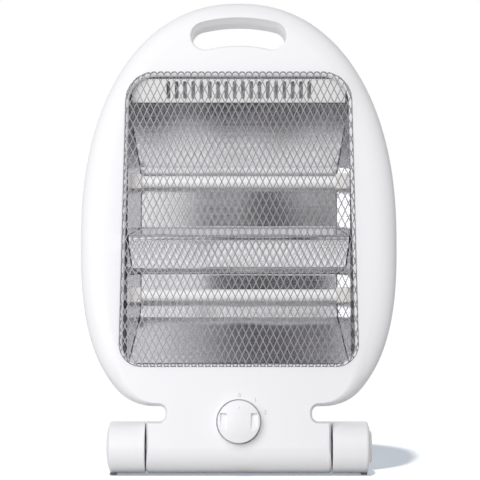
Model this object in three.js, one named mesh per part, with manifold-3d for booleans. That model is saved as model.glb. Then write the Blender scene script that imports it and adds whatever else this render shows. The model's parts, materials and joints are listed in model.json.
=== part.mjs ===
// Infrared heater: an oval head with two quartz tubes behind a grille, leaning back on a barrel
// hinge, and a U-shaped foot whose hubs turn on the barrel's ends.
// Millimetres, +X to the right as seen from the front, +Y to the back, +Z up.
import * as THREE from 'three';
import { mergeVertices } from 'three/addons/utils/BufferGeometryUtils.js';
import Module from 'manifold-3d';

const wasm = await Module();
wasm.setup();

// Sizes shared by several pieces
const fitGap = 0.3;
const overrun = 4;
const wall = 2.5;
const sheet = 0.8;
const leanAngle = THREE.MathUtils.degToRad(6);

const barrel = { radius: 21.5, halfLength: 77, chamfer: 1.8, sides: 32 };
const headDepth = barrel.radius;
const innerFace = headDepth - wall;

const head = {
  halfWidth: 132.2,
  waist: 176.4,
  rise: 197.8,
  fall: 162.2,
  riseSquareness: 2.2,
  fallSquareness: 2.8,
  chin: 33.9,
  chinFlat: 4,
  chinCurve: 29.94,
  chinBendShare: 0.6,
  neckHalfWidth: 61,
  notchRadius: 5,
  crownWidth: 20,
  crownDepth: 12,
};

const headTop = head.waist + head.rise;

const rim = { top: 63.1, sideAtBottom: 33.9, sideAtTop: 38.7 };
const windowOpening = {
  bottom: 64.2,
  top: headTop - rim.top,
  bottomHalfWidth: head.halfWidth - rim.sideAtBottom,
  topHalfWidth: head.halfWidth - rim.sideAtTop,
  bottomCorner: 19,
  topCorner: 25,
  lip: 4,
  skirt: 5.5,
};

const slot = { belowTop: 27.15, halfChord: 28.7, sag: 3.4, halfHeight: 11.5, lip: 3.5 };

const dial = {
  radius: 17.6,
  gap: 1,
  height: 20.85,
  thickness: 8.98,
  dome: 2,
  edge: 0.7,
  recess: 1,
  pocketHalfWidth: 2.8,
  pocketHalfHeight: 7,
  pocketDepth: 5.4,
  pocketOffset: 12.6,
  domeShares: [0, 0.4, 0.75, 1],
};
const dialFloor = headDepth - dial.recess;
const dialBack = dialFloor + fitGap;
const dialFront = dialBack + dial.thickness;

const shaft = { radius: 3, inKnob: 7.5, inSwitch: 5 };

const tube = { radius: 5, wall: 1.1, depth: 4, upperHeight: 223.4, lowerHeight: 127.1 };

const reflector = {
  front: -10,
  back: 17,
  insideWindow: 5.8,
  taper: 10,
  belowWindowTop: 20.6,
  aboveWindowBottom: 5.3,
  flangeAboveMiddle: 0.75,
  flangeHeight: 4,
};
const reflectorHalfWidth = windowOpening.bottomHalfWidth - reflector.insideWindow;
const reflectorTop = windowOpening.top - reflector.belowWindowTop;
const reflectorBottom = windowOpening.bottom + reflector.aboveWindowBottom;
const flangeTop = (tube.upperHeight + tube.lowerHeight) / 2 + reflector.flangeAboveMiddle;
const flangeBottom = flangeTop - reflector.flangeHeight;

const cap = { insidePlate: 0.5, length: 15, grip: 4.7, halfSide: 6.5, corner: 1.2 };
const capInner = reflectorHalfWidth - reflector.taper - cap.insidePlate;
const capOuter = capInner + cap.length;
const tubeHalfLength = capInner + cap.grip;

const screw = {
  shankRadius: 1.6,
  headRadius: 3.3,
  headThickness: 2.4,
  headSeat: 12,
  reach: 14,
  bossRadius: 4.6,
  besideNeck: 15,
  aboveChin: 15.1,
  fromSide: 20.2,
  belowWaist: 64.4,
  aboveWaist: 59.6,
  besideSlot: 22.8,
  belowTop: 46.2,
};

const bush = { radius: 11, innerRadius: 13.5, bore: 8.3, length: 13, seatDepth: 3, seatSpread: 2.9 };
const bushEnd = barrel.halfLength - fitGap;
const bushInner = bushEnd - bush.length;

const hub = {
  seam: 0.6,
  edge: 0.5,
  length: 28,
  rimLength: 1.9,
  rimRound: 2.3,
  disc: 2.6,
  cavityRadius: 17,
  capRadius: 18.5,
  capSeat: 3.6,
  sleeveBore: 4.3,
  sleeveOut: 6,
};
const hubStart = barrel.halfLength + hub.seam;
const hubEnd = hubStart + hub.length;
const sleeveRadius = bush.bore - fitGap;
const sleeveInner = bushInner + bush.seatDepth;
const sleeveOuter = hubStart + hub.disc + hub.sleeveOut;
const capSeat = hubEnd + hub.rimLength - hub.capSeat;
const capCrown = 2.6;

const button = { radius: 13.5, headLength: 6.4, face: 0.6, edge: 0.8, proud: 1.1 };

const foot = {
  reach: 112,
  legInner: 88,
  legOuter: 106,
  barWidth: 15,
  thickness: 11.5,
  outerCorner: 24,
  innerCorner: 11,
  chamfer: 1.5,
};

const pad = {
  rise: 1,
  height: 2.6,
  frontHalfWidth: 2.7,
  frontHalfDepth: 6,
  frontOffset: 104,
  rearRadius: 6,
  rearOffset: 72,
};

// Turns that lay a body made along Y onto another axis, and one that lays an outline flat
const alongX = new THREE.Matrix4().makeRotationZ(-Math.PI / 2);
const alongMinusX = new THREE.Matrix4().makeRotationZ(Math.PI / 2);
const alongY = new THREE.Matrix4().identity();
const laidFlat = new THREE.Matrix4().makeRotationX(-Math.PI / 2);

// Lays an outline given as [depth, height] across the head, with its thickness along X
const acrossHead = new THREE.Matrix4().makeBasis(
  new THREE.Vector3(0, 1, 0),
  new THREE.Vector3(1, 0, 0),
  new THREE.Vector3(0, 0, 1),
);

// Solids and meshes

// A solid from a closed geometry, with its faces turned outwards
function solid(geometry) {
  const bare = geometry.clone();
  bare.deleteAttribute('normal');
  bare.deleteAttribute('uv');
  const merged = mergeVertices(bare);
  const vertProperties = new Float32Array(merged.attributes.position.array);
  const triVerts = new Uint32Array(merged.index.array);
  const corner = (index) => new THREE.Vector3().fromArray(vertProperties, 3 * triVerts[index]);
  let volume = 0;
  for (let face = 0; face < triVerts.length; face += 3) {
    volume += corner(face).dot(corner(face + 1).cross(corner(face + 2)));
  }
  if (volume < 0) {
    triVerts.reverse();
  }
  return new wasm.Manifold(new wasm.Mesh({ numProp: 3, vertProperties, triVerts }));
}

function join(...bodies) {
  return bodies.reduce((whole, body) => whole.add(body));
}

function cut(body, ...cutters) {
  return cutters.reduce((left, cutter) => left.subtract(cutter), body);
}

function named(name, body, look) {
  const mesh = body.getMesh();
  const geometry = new THREE.BufferGeometry();
  geometry.setAttribute('position', new THREE.BufferAttribute(mesh.vertProperties, mesh.numProp));
  geometry.setIndex(new THREE.BufferAttribute(mesh.triVerts, 1));
  geometry.computeVertexNormals();
  const made = new THREE.Mesh(geometry, new THREE.MeshStandardMaterial(look));
  made.name = name;
  return made;
}

// A closed body from outlines in the XZ plane, each at its own depth along Y. Every outline has
// the same number of points and runs counter-clockwise as seen from the front.
function stack(rings, turn = alongY) {
  const count = rings[0].outline.length;
  const positions = rings.flatMap(({ outline, y }) => outline.flatMap((point) => [point.x, y, point.y]));
  const faces = [];
  for (let ring = 0; ring + 1 < rings.length; ring += 1) {
    for (let i = 0; i < count; i += 1) {
      const next = (i + 1) % count;
      const near = ring * count;
      const far = near + count;
      faces.push(near + i, far + i, far + next);
      faces.push(near + i, far + next, near + next);
    }
  }
  const last = (rings.length - 1) * count;
  for (const [a, b, c] of THREE.ShapeUtils.triangulateShape(rings[0].outline, [])) {
    faces.push(a, b, c);
  }
  for (const [a, b, c] of THREE.ShapeUtils.triangulateShape(rings[rings.length - 1].outline, [])) {
    faces.push(last + a, last + c, last + b);
  }
  const geometry = new THREE.BufferGeometry();
  geometry.setAttribute('position', new THREE.Float32BufferAttribute(positions, 3));
  geometry.setIndex(faces);
  return solid(geometry.applyMatrix4(turn));
}

function slab(outline, front, back, turn = alongY) {
  return stack([{ outline, y: front }, { outline, y: back }], turn);
}

function box(width, depth, height, x, y, z) {
  return solid(new THREE.BoxGeometry(width, depth, height).translate(x, y, z));
}

// A turned body about the Y axis, laid along another by the turn. The profile holds
// [radius, distance along the axis] pairs.
function turned(profile, sides, turn) {
  const points = profile.map(([radius, along]) => new THREE.Vector2(radius, along));
  return solid(new THREE.LatheGeometry(points, sides).applyMatrix4(turn));
}

function placed(x, y, z, turn = alongY) {
  return new THREE.Matrix4().makeTranslation(x, y, z).multiply(turn);
}

function rod(radius, start, end, sides, turn) {
  return turned([[0, start], [radius, start], [radius, end], [0, end]], sides, turn);
}

function ringBody(inner, outer, start, end, sides, turn) {
  const profile = [[inner, start], [outer, start], [outer, end], [inner, end], [inner, start]];
  return turned(profile, sides, turn);
}

// A round wire along a smooth curve
function wire(points, radius, sides, steps) {
  const section = new THREE.Shape(roundPatch(0, 0, radius, sides));
  const extrudePath = new THREE.CatmullRomCurve3(points.map((point) => new THREE.Vector3(...point)));
  return solid(new THREE.ExtrudeGeometry(section, { steps, bevelEnabled: false, extrudePath }));
}

// Outlines in the XZ plane

// Moves an outline inwards by a distance, or outwards by a negative one.
function inset(outline, distance) {
  return outline.map((point, i) => {
    const before = outline[(i + outline.length - 1) % outline.length];
    const after = outline[(i + 1) % outline.length];
    const arriving = new THREE.Vector2().subVectors(point, before).normalize();
    const leaving = new THREE.Vector2().subVectors(after, point).normalize();
    const inwards = new THREE.Vector2(-arriving.y - leaving.y, arriving.x + leaving.x);
    return point.clone().addScaledVector(inwards, (2 * distance) / inwards.lengthSq());
  });
}

function roundedPolygon(corners, steps) {
  return corners.flatMap((corner, i) => {
    const point = new THREE.Vector2(corner.x, corner.z);
    if (!corner.radius) {
      return [point];
    }
    const before = corners[(i + corners.length - 1) % corners.length];
    const after = corners[(i + 1) % corners.length];
    const back = new THREE.Vector2(before.x, before.z).sub(point).normalize();
    const ahead = new THREE.Vector2(after.x, after.z).sub(point).normalize();
    const half = Math.acos(back.dot(ahead)) / 2;
    const centre = back.clone().add(ahead).setLength(corner.radius / Math.sin(half)).add(point);
    const start = back.clone().multiplyScalar(corner.radius / Math.tan(half)).add(point).sub(centre);
    const sweep = Math.sign(ahead.cross(back)) * (Math.PI - 2 * half);
    return Array.from({ length: steps + 1 }, (_, step) =>
      start.clone().rotateAround(new THREE.Vector2(), (sweep * step) / steps).add(centre));
  });
}

function rectangle(halfWidth, halfHeight, x, z, radius = 0, steps = 1) {
  return roundedPolygon([
    { x: x - halfWidth, z: z - halfHeight, radius },
    { x: x + halfWidth, z: z - halfHeight, radius },
    { x: x + halfWidth, z: z + halfHeight, radius },
    { x: x - halfWidth, z: z + halfHeight, radius },
  ], steps);
}

function roundPatch(x, z, radius, sides) {
  return Array.from({ length: sides }, (_, i) => {
    const angle = (2 * Math.PI * i) / sides;
    return new THREE.Vector2(x + radius * Math.cos(angle), z + radius * Math.sin(angle));
  });
}

function superPoint(halfWidth, height, squareness, angle) {
  const power = 2 / squareness;
  return [halfWidth * Math.sin(angle) ** power, height * Math.cos(angle) ** power];
}

// The head's outline: two superellipse halves, a chin that flattens towards the neck, and the
// round-ended notch between chin and barrel. The neck runs on into the barrel and is cut off there.
function headOutline() {
  const notchSide = head.neckHalfWidth + head.notchRadius;
  const chinEnd = notchSide + head.chinFlat;
  const startShare = (chinEnd + head.chinCurve) / head.halfWidth;
  const startAngle = Math.asin(startShare ** (head.fallSquareness / 2));
  const [chinStart, chinDrop] = superPoint(head.halfWidth, head.fall, head.fallSquareness, startAngle);
  const right = [new THREE.Vector2(notchSide, -2 * barrel.radius)];
  const notchSteps = 3;
  for (let step = 0; step <= notchSteps; step += 1) {
    const angle = (Math.PI / 2) * (step / notchSteps);
    right.push(new THREE.Vector2(
      notchSide - head.notchRadius * Math.sin(angle),
      barrel.radius + head.notchRadius * (1 - Math.cos(angle)),
    ));
  }
  for (let step = 0; step <= notchSteps; step += 1) {
    const angle = (Math.PI / 2) * (step / notchSteps);
    right.push(new THREE.Vector2(
      notchSide - head.notchRadius * Math.cos(angle),
      head.chin - head.notchRadius * (1 - Math.sin(angle)),
    ));
  }
  const chinCurve = new THREE.QuadraticBezierCurve(
    new THREE.Vector2(chinEnd, head.chin),
    new THREE.Vector2(THREE.MathUtils.lerp(chinEnd, chinStart, head.chinBendShare), head.chin),
    new THREE.Vector2(chinStart, head.waist - chinDrop),
  );
  right.push(...chinCurve.getPoints(3).slice(0, -1));
  const fallSteps = 8;
  for (let step = 0; step < fallSteps; step += 1) {
    const angle = THREE.MathUtils.lerp(startAngle, Math.PI / 2, step / fallSteps);
    const [x, drop] = superPoint(head.halfWidth, head.fall, head.fallSquareness, angle);
    right.push(new THREE.Vector2(x, head.waist - drop));
  }
  const riseSteps = 13;
  for (let step = riseSteps; step > 0; step -= 1) {
    const angle = (Math.PI / 2) * (step / riseSteps);
    const [x, lift] = superPoint(head.halfWidth, head.rise, head.riseSquareness, angle);
    right.push(new THREE.Vector2(x, head.waist + lift));
  }
  const left = right.map((point) => new THREE.Vector2(-point.x, point.y)).reverse();
  return [...right, new THREE.Vector2(0, headTop), ...left];
}

function windowOutline() {
  return roundedPolygon([
    { x: -windowOpening.bottomHalfWidth, z: windowOpening.bottom, radius: windowOpening.bottomCorner },
    { x: windowOpening.bottomHalfWidth, z: windowOpening.bottom, radius: windowOpening.bottomCorner },
    { x: windowOpening.topHalfWidth, z: windowOpening.top, radius: windowOpening.topCorner },
    { x: -windowOpening.topHalfWidth, z: windowOpening.top, radius: windowOpening.topCorner },
  ], 5);
}

function windowHalfWidthAt(height) {
  const rise = (height - windowOpening.bottom) / (windowOpening.top - windowOpening.bottom);
  return THREE.MathUtils.lerp(windowOpening.bottomHalfWidth, windowOpening.topHalfWidth, rise);
}

// The hand slot: a band of constant height along an arc, with round ends
function slotOutline() {
  const arcRadius = (slot.halfChord ** 2 + slot.sag ** 2) / (2 * slot.sag);
  const halfAngle = Math.asin(slot.halfChord / arcRadius);
  const centre = new THREE.Vector2(0, headTop - slot.belowTop - arcRadius);
  const around = (radius, angle) => new THREE.Vector2(radius * Math.sin(angle), radius * Math.cos(angle));
  const outline = [];
  const arcSteps = 6;
  const endSteps = 5;
  for (let step = 0; step <= arcSteps; step += 1) {
    const angle = halfAngle * ((2 * step) / arcSteps - 1);
    outline.push(around(arcRadius - slot.halfHeight, angle).add(centre));
  }
  for (let step = 1; step < endSteps; step += 1) {
    const turn = halfAngle + Math.PI - (Math.PI * step) / endSteps;
    outline.push(around(arcRadius, halfAngle).add(centre).add(around(slot.halfHeight, turn)));
  }
  for (let step = 0; step <= arcSteps; step += 1) {
    const angle = halfAngle * (1 - (2 * step) / arcSteps);
    outline.push(around(arcRadius + slot.halfHeight, angle).add(centre));
  }
  for (let step = 1; step < endSteps; step += 1) {
    const turn = -halfAngle - (Math.PI * step) / endSteps;
    outline.push(around(arcRadius, -halfAngle).add(centre).add(around(slot.halfHeight, turn)));
  }
  return outline;
}

// Casing shells. The side is -1 for the front shell and 1 for the rear one, and the parting is
// how far from the head's middle plane the shell starts.

// A cutter for an opening whose edge rolls outwards by the lip at the outer face
function flaredCutter(outline, lip, side) {
  const rings = [{ outline: inset(outline, -lip), y: side * (headDepth + overrun) }];
  const lipSteps = 3;
  for (let step = 0; step <= lipSteps; step += 1) {
    const angle = (Math.PI / 2) * (step / lipSteps);
    rings.push({
      outline: inset(outline, -lip * (1 - Math.sin(angle))),
      y: side * (headDepth - lip * (1 - Math.cos(angle))),
    });
  }
  rings.push({ outline, y: -side * overrun });
  return stack(rings);
}

// The head's outline with its crowned edge, drawn in by a margin all round
function crownedBody(side, margin, parting, steps) {
  const outline = inset(headOutline(), margin);
  const shoulder = headDepth - margin - head.crownDepth;
  const rings = [{ outline, y: side * parting }];
  for (let step = 0; step <= steps; step += 1) {
    const angle = (Math.PI / 2) * (step / steps);
    rings.push({
      outline: inset(outline, head.crownWidth * (1 - Math.cos(angle))),
      y: side * (shoulder + head.crownDepth * Math.sin(angle)),
    });
  }
  return stack(rings);
}

// One hollow shell half of the head and barrel, with the end walls that hold the bushes
function shellHalf(side, parting) {
  const reach = 2 * (head.rise + head.fall);
  const belowAxis = box(reach, 2 * reach, 2 * barrel.radius, 0, 0, -barrel.radius);
  const neckEnd = box(reach, 2 * reach, reach, 0, 0, -reach / 2 - barrel.radius);
  const otherHalf = box(2 * reach, reach, 2 * reach, 0, side * (parting - reach / 2), 0);
  const { radius, halfLength, chamfer, sides } = barrel;
  const outerHead = cut(crownedBody(side, 0, parting, 4), belowAxis, neckEnd);
  const outerBarrel = turned([
    [0, -halfLength],
    [radius - chamfer, -halfLength],
    [radius, chamfer - halfLength],
    [radius, halfLength - chamfer],
    [radius - chamfer, halfLength],
    [0, halfLength],
  ], sides, alongX);
  const innerHead = cut(crownedBody(side, wall, parting - wall, 2), belowAxis, neckEnd);
  const innerBarrel = rod(radius - wall, wall - halfLength, halfLength - wall, sides, alongX);
  const bores = rod(bush.radius + fitGap, -halfLength - overrun, halfLength + overrun, sides, alongX);
  return cut(join(outerHead, outerBarrel), join(innerHead, innerBarrel), bores, otherHalf);
}

function slotSleeve(side, parting) {
  return slab(inset(slotOutline(), -wall), side * (headDepth - slot.lip), side * parting);
}

// A pillar that stands on a shell's inner face
function pillar(side, x, z, radius, end) {
  return slab(roundPatch(x, z, radius, 8), side * (headDepth - wall / 2), side * end);
}

const screwSideX = head.halfWidth - screw.fromSide;
const screwTopX = slot.halfChord + slot.halfHeight + screw.besideSlot;
const screwPlaces = [
  { name: 'bottom', x: head.neckHalfWidth + screw.besideNeck, z: head.chin + screw.aboveChin },
  { name: 'low_side', x: screwSideX, z: head.waist - screw.belowWaist },
  { name: 'high_side', x: screwSideX, z: head.waist + screw.aboveWaist },
  { name: 'top', x: screwTopX, z: headTop - screw.belowTop },
].flatMap((place) => [
  { name: `screw_${place.name}_left`, x: -place.x, z: place.z },
  { name: `screw_${place.name}_right`, x: place.x, z: place.z },
]);

const glossWhite = { color: 0xf3f3f6, roughness: 0.28, metalness: 0 };

function frontCasing() {
  const side = -1;
  const skirt = slab(
    inset(windowOutline(), -windowOpening.lip - wall),
    side * (headDepth - wall / 2),
    side * (headDepth - windowOpening.skirt),
  );
  const dialPlate = slab(
    roundPatch(0, dial.height, dial.radius + dial.gap + wall, 28),
    side * (headDepth - wall / 2),
    side * (dialFloor - wall),
  );
  const dialRecess = slab(
    roundPatch(0, dial.height, dial.radius + dial.gap, 32),
    side * (headDepth + overrun),
    side * dialFloor,
  );
  const shaftHole = slab(
    roundPatch(0, dial.height, shaft.radius + 2 * fitGap, 12),
    side * (headDepth + overrun),
    0,
  );
  const pilotHoles = screwPlaces.map(({ x, z }) => slab(
    roundPatch(x, z, screw.shankRadius + fitGap, 6),
    side * (screw.reach + fitGap),
    overrun,
  ));
  const body = join(
    shellHalf(side, 0),
    slotSleeve(side, 0),
    skirt,
    dialPlate,
    ...screwPlaces.map(({ x, z }) => pillar(side, x, z, screw.bossRadius, 0)),
  );
  return named('front_casing', cut(
    body,
    flaredCutter(slotOutline(), slot.lip, side),
    flaredCutter(windowOutline(), windowOpening.lip, side),
    dialRecess,
    shaftHole,
    ...pilotHoles,
  ), glossWhite);
}

const vents = { halfLength: 27, halfHeight: 2, pitch: 9, rows: 5, offset: 40, upper: 244, lower: 96 };

const gland = {
  x: -28,
  height: 46,
  bore: 4.6,
  neckRadius: 6.7,
  flangeRadius: 8.6,
  flangeThickness: 2.4,
};

const terminals = { x: 28, height: 50, halfWidth: 17, halfHeight: 6, front: -3, back: 10, poles: 3 };

const cutout = {
  belowFlange: 2,
  radius: 7.6,
  front: 4,
  back: 9,
  tabHalfWidth: 13,
  tabHalfHeight: 2.5,
};
const cutoutHeight = flangeBottom - cutout.belowFlange;

const tipSwitch = {
  fromBarrelEnd: 39,
  halfWidth: 8,
  front: -10,
  back: 10,
  bottom: -14,
  top: 13,
  wall: 2,
  pivotHeight: 8,
  pivotDepth: -1,
  pivotRadius: 1.5,
};
const tipSwitchX = tipSwitch.fromBarrelEnd - barrel.halfLength;

function rearCasing() {
  const side = 1;
  const carried = [
    pillar(side, 0, cutoutHeight, screw.bossRadius, cutout.back + fitGap),
    pillar(side, tipSwitchX, 0, screw.bossRadius, tipSwitch.back + fitGap),
    pillar(side, terminals.x - terminals.halfWidth / 2, terminals.height, screw.bossRadius,
      terminals.back + fitGap),
    pillar(side, terminals.x + terminals.halfWidth / 2, terminals.height, screw.bossRadius,
      terminals.back + fitGap),
  ];
  const screwHoles = screwPlaces.flatMap(({ x, z }) => [
    slab(roundPatch(x, z, screw.shankRadius + fitGap, 6), -overrun, headDepth + overrun),
    slab(roundPatch(x, z, screw.headRadius + fitGap, 10), screw.headSeat, headDepth + overrun),
  ]);
  const ventSlots = [];
  for (const height of [vents.upper, vents.lower]) {
    for (const offset of [-vents.offset, vents.offset]) {
      for (let row = 0; row < vents.rows; row += 1) {
        const z = height + (row - (vents.rows - 1) / 2) * vents.pitch;
        const outline = rectangle(vents.halfLength, vents.halfHeight, offset, z);
        ventSlots.push(slab(outline, innerFace - wall, headDepth + overrun));
      }
    }
  }
  const glandHole = slab(
    roundPatch(gland.x, gland.height, gland.neckRadius + fitGap, 12),
    innerFace - overrun,
    headDepth + overrun,
  );
  const body = join(
    shellHalf(side, fitGap),
    slotSleeve(side, fitGap),
    ...screwPlaces.map(({ x, z }) => pillar(side, x, z, screw.bossRadius, fitGap)),
    ...carried,
  );
  return named('rear_casing', cut(
    body,
    flaredCutter(slotOutline(), slot.lip, side),
    ...screwHoles,
    ...ventSlots,
    glandHole,
  ), glossWhite);
}

// Grille: a dish of expanded metal whose flange sits behind the window's skirt
const grille = {
  proud: 8,
  thickness: 1.2,
  roundWidth: 3,
  roundDepth: 3,
  flangeWidth: 3.5,
  border: 1.5,
  gapWidth: 21,
  gapHeight: 43,
  strand: 3,
  ribRadius: 1.3,
};
const grilleFront = headDepth + grille.proud;
const grilleFlange = headDepth - windowOpening.skirt - fitGap;

function grillePiece() {
  const edge = inset(windowOutline(), 2 * fitGap);
  const roundStep = grille.roundWidth * (1 - Math.SQRT1_2);
  const roundDrop = grille.roundDepth * (1 - Math.SQRT1_2);
  const dish = (margin, lift, back) => stack([
    { outline: inset(edge, margin + grille.roundWidth), y: lift - grilleFront },
    { outline: inset(edge, margin + roundStep), y: lift + roundDrop - grilleFront },
    { outline: inset(edge, margin), y: lift + grille.roundDepth - grilleFront },
    { outline: inset(edge, margin), y: back },
  ]);
  const flange = slab(
    inset(edge, -grille.flangeWidth),
    -grilleFlange,
    grille.thickness - grilleFlange,
  );
  const hollow = dish(grille.thickness, grille.thickness, overrun - grilleFlange);
  const middle = (windowOpening.top + windowOpening.bottom) / 2;
  const rows = Math.ceil((windowOpening.top - windowOpening.bottom) / grille.gapHeight);
  const columns = Math.ceil(windowOpening.bottomHalfWidth / grille.gapWidth);
  const halfWidth = (grille.gapWidth - grille.strand) / 2;
  const halfHeight = (halfWidth * grille.gapHeight) / grille.gapWidth;
  const gaps = [];
  for (let row = -rows; row <= rows; row += 1) {
    const z = middle + (row * grille.gapHeight) / 2;
    const shift = row % 2 === 0 ? grille.gapWidth / 2 : 0;
    for (let column = -columns; column <= columns; column += 1) {
      const x = column * grille.gapWidth + shift;
      gaps.push(slab([
        new THREE.Vector2(x, z - halfHeight),
        new THREE.Vector2(x + halfWidth, z),
        new THREE.Vector2(x, z + halfHeight),
        new THREE.Vector2(x - halfWidth, z),
      ], -grilleFront - overrun, -grilleFront + overrun));
    }
  }
  const flat = inset(edge, grille.roundWidth + grille.border);
  const face = join(...gaps).intersect(slab(flat, -grilleFront - 2 * overrun, overrun));
  const look = { color: 0xa9a7a9, roughness: 0.35, metalness: 1 };
  const whole = join(dish(0, 0, grille.thickness - grilleFlange), flange);
  return named('grille', cut(whole, hollow, face), look);
}

function grilleRib() {
  const height = (flangeTop + flangeBottom) / 2;
  const halfLength = windowHalfWidthAt(height) - grille.thickness - grille.roundWidth - 2 * fitGap;
  const depth = grille.thickness + fitGap + grille.ribRadius - grilleFront;
  const look = { color: 0xb4b2b4, roughness: 0.3, metalness: 1 };
  return named('grille_rib', rod(grille.ribRadius, -halfLength, halfLength, 8,
    placed(0, depth, height, alongX)), look);
}

// Reflector: two troughs of bright sheet that meet at a flange, between slanted side plates

// Depth shares run from the reflector's front to its back. Height shares run from the tube up to
// the trough's top where they are positive, and down to its bottom where they are negative.
const upperTroughShares = [[0, 1], [0.89, 0.215], [1, 0.044], [1, -0.565], [0.81, -0.783], [0.04, -1]];
const lowerTroughShares = [[0.04, 1], [0.81, 0.509], [1, 0.292], [1, -0.092], [0.85, -0.253], [0, -1]];

// The outline of a thin sheet bent along an open line of points
function sheetOutline(line, thickness) {
  const shifted = (distance) => line.map((point, i) => {
    const arriving = new THREE.Vector2().subVectors(point, line[i - 1] ?? point).normalize();
    const leaving = new THREE.Vector2().subVectors(line[i + 1] ?? point, point).normalize();
    const normal = new THREE.Vector2(-arriving.y - leaving.y, arriving.x + leaving.x);
    const isEnd = i === 0 || i === line.length - 1;
    const reach = isEnd ? distance : (2 * distance) / normal.lengthSq();
    return point.clone().addScaledVector(normal, reach);
  });
  const outline = [...shifted(thickness / 2), ...shifted(-thickness / 2).reverse()];
  return THREE.ShapeUtils.isClockWise(outline) ? outline.reverse() : outline;
}

function troughLine(shares, tubeHeight, top, bottom) {
  return shares.map(([depthShare, heightShare]) => new THREE.Vector2(
    THREE.MathUtils.lerp(reflector.front, reflector.back, depthShare),
    tubeHeight + Math.abs(heightShare) * ((heightShare > 0 ? top : bottom) - tubeHeight),
  ));
}

function reflectorHalfWidthAt(depth) {
  const share = (depth - reflector.front) / (reflector.back - reflector.front);
  return reflectorHalfWidth - reflector.taper * share;
}

const brightSheet = { color: 0xd2d2d4, roughness: 0.22, metalness: 1 };

function reflectorSheet() {
  const line = [
    ...troughLine(upperTroughShares, tube.upperHeight, reflectorTop, flangeTop),
    ...troughLine(lowerTroughShares, tube.lowerHeight, flangeBottom, reflectorBottom),
  ];
  const front = reflector.front - overrun;
  const back = reflector.back + overrun;
  const between = slab([
    new THREE.Vector2(-reflectorHalfWidthAt(front), front),
    new THREE.Vector2(reflectorHalfWidthAt(front), front),
    new THREE.Vector2(reflectorHalfWidthAt(back), back),
    new THREE.Vector2(-reflectorHalfWidthAt(back), back),
  ], -reflectorTop - overrun, -reflectorBottom + overrun, laidFlat);
  const bent = slab(
    sheetOutline(line, sheet),
    -2 * reflectorHalfWidth,
    2 * reflectorHalfWidth,
    acrossHead,
  );
  return named('reflector', bent.intersect(between), brightSheet);
}

const sidePlate = { margin: 1, flange: 5 };

function sidePlatePiece(name, side) {
  const offset = fitGap + sheet;
  const back = innerFace - fitGap - sheet / 2;
  const webX = (depth) => side * (reflectorHalfWidthAt(depth) + offset);
  const line = [
    new THREE.Vector2(webX(reflector.front), reflector.front),
    new THREE.Vector2(webX(back), back),
    new THREE.Vector2(webX(back) + side * sidePlate.flange, back),
  ];
  const plate = slab(
    sheetOutline(line, sheet),
    -reflectorTop - sidePlate.margin,
    sidePlate.margin - reflectorBottom,
    laidFlat,
  );
  const capHoles = [tube.upperHeight, tube.lowerHeight].map((height) => slab(
    rectangle(cap.halfSide + fitGap, cap.halfSide + fitGap, tube.depth, height),
    -2 * reflectorHalfWidth,
    2 * reflectorHalfWidth,
    acrossHead,
  ));
  return named(name, cut(plate, ...capHoles), brightSheet);
}

// Vented ceiling above the troughs, with a flange behind the grille's own
const ceiling = {
  thickness: 1.6,
  flangeAboveWindow: 9.9,
  flangeInset: 15.5,
  inset: 3.5,
  bendBelowWindow: 2.1,
  footAboveReflector: 2,
  back: 8,
  slots: 18,
  slotPitch: 7,
  slotWidth: 3.4,
  slotStartShare: 0.12,
  slotEndShare: 0.62,
};

function ventPanel() {
  const front = grille.thickness + fitGap + ceiling.thickness / 2 - grilleFlange;
  const bend = new THREE.Vector2(front, windowOpening.top - ceiling.bendBelowWindow);
  const foot = new THREE.Vector2(ceiling.back, reflectorTop + ceiling.footAboveReflector);
  const flangeEnd = new THREE.Vector2(front, windowOpening.top + ceiling.flangeAboveWindow);
  const halfWidth = windowOpening.topHalfWidth - ceiling.inset;
  const flangeHalfWidth = windowOpening.topHalfWidth - ceiling.flangeInset;
  const across = (line, thickness, from, to) => slab(sheetOutline(line, thickness), from, to, acrossHead);
  const plate = across([bend, foot], ceiling.thickness, -halfWidth, halfWidth);
  const flanged = across(
    [flangeEnd, bend, foot],
    ceiling.thickness,
    -flangeHalfWidth,
    flangeHalfWidth,
  );
  const slotLine = [
    bend.clone().lerp(foot, ceiling.slotStartShare),
    bend.clone().lerp(foot, ceiling.slotEndShare),
  ];
  const slots = Array.from({ length: ceiling.slots }, (_, i) => {
    const x = (i - (ceiling.slots - 1) / 2) * ceiling.slotPitch;
    return across(slotLine, overrun, x - ceiling.slotWidth / 2, x + ceiling.slotWidth / 2);
  });
  return named('vent_panel', cut(join(plate, flanged), ...slots), glossWhite);
}

// Quartz tubes, each with a heating coil inside and a ceramic cap at either end

const coil = { radius: 2.4, leadRadius: 1.2, leadReach: 2, inset: 3 };

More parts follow.
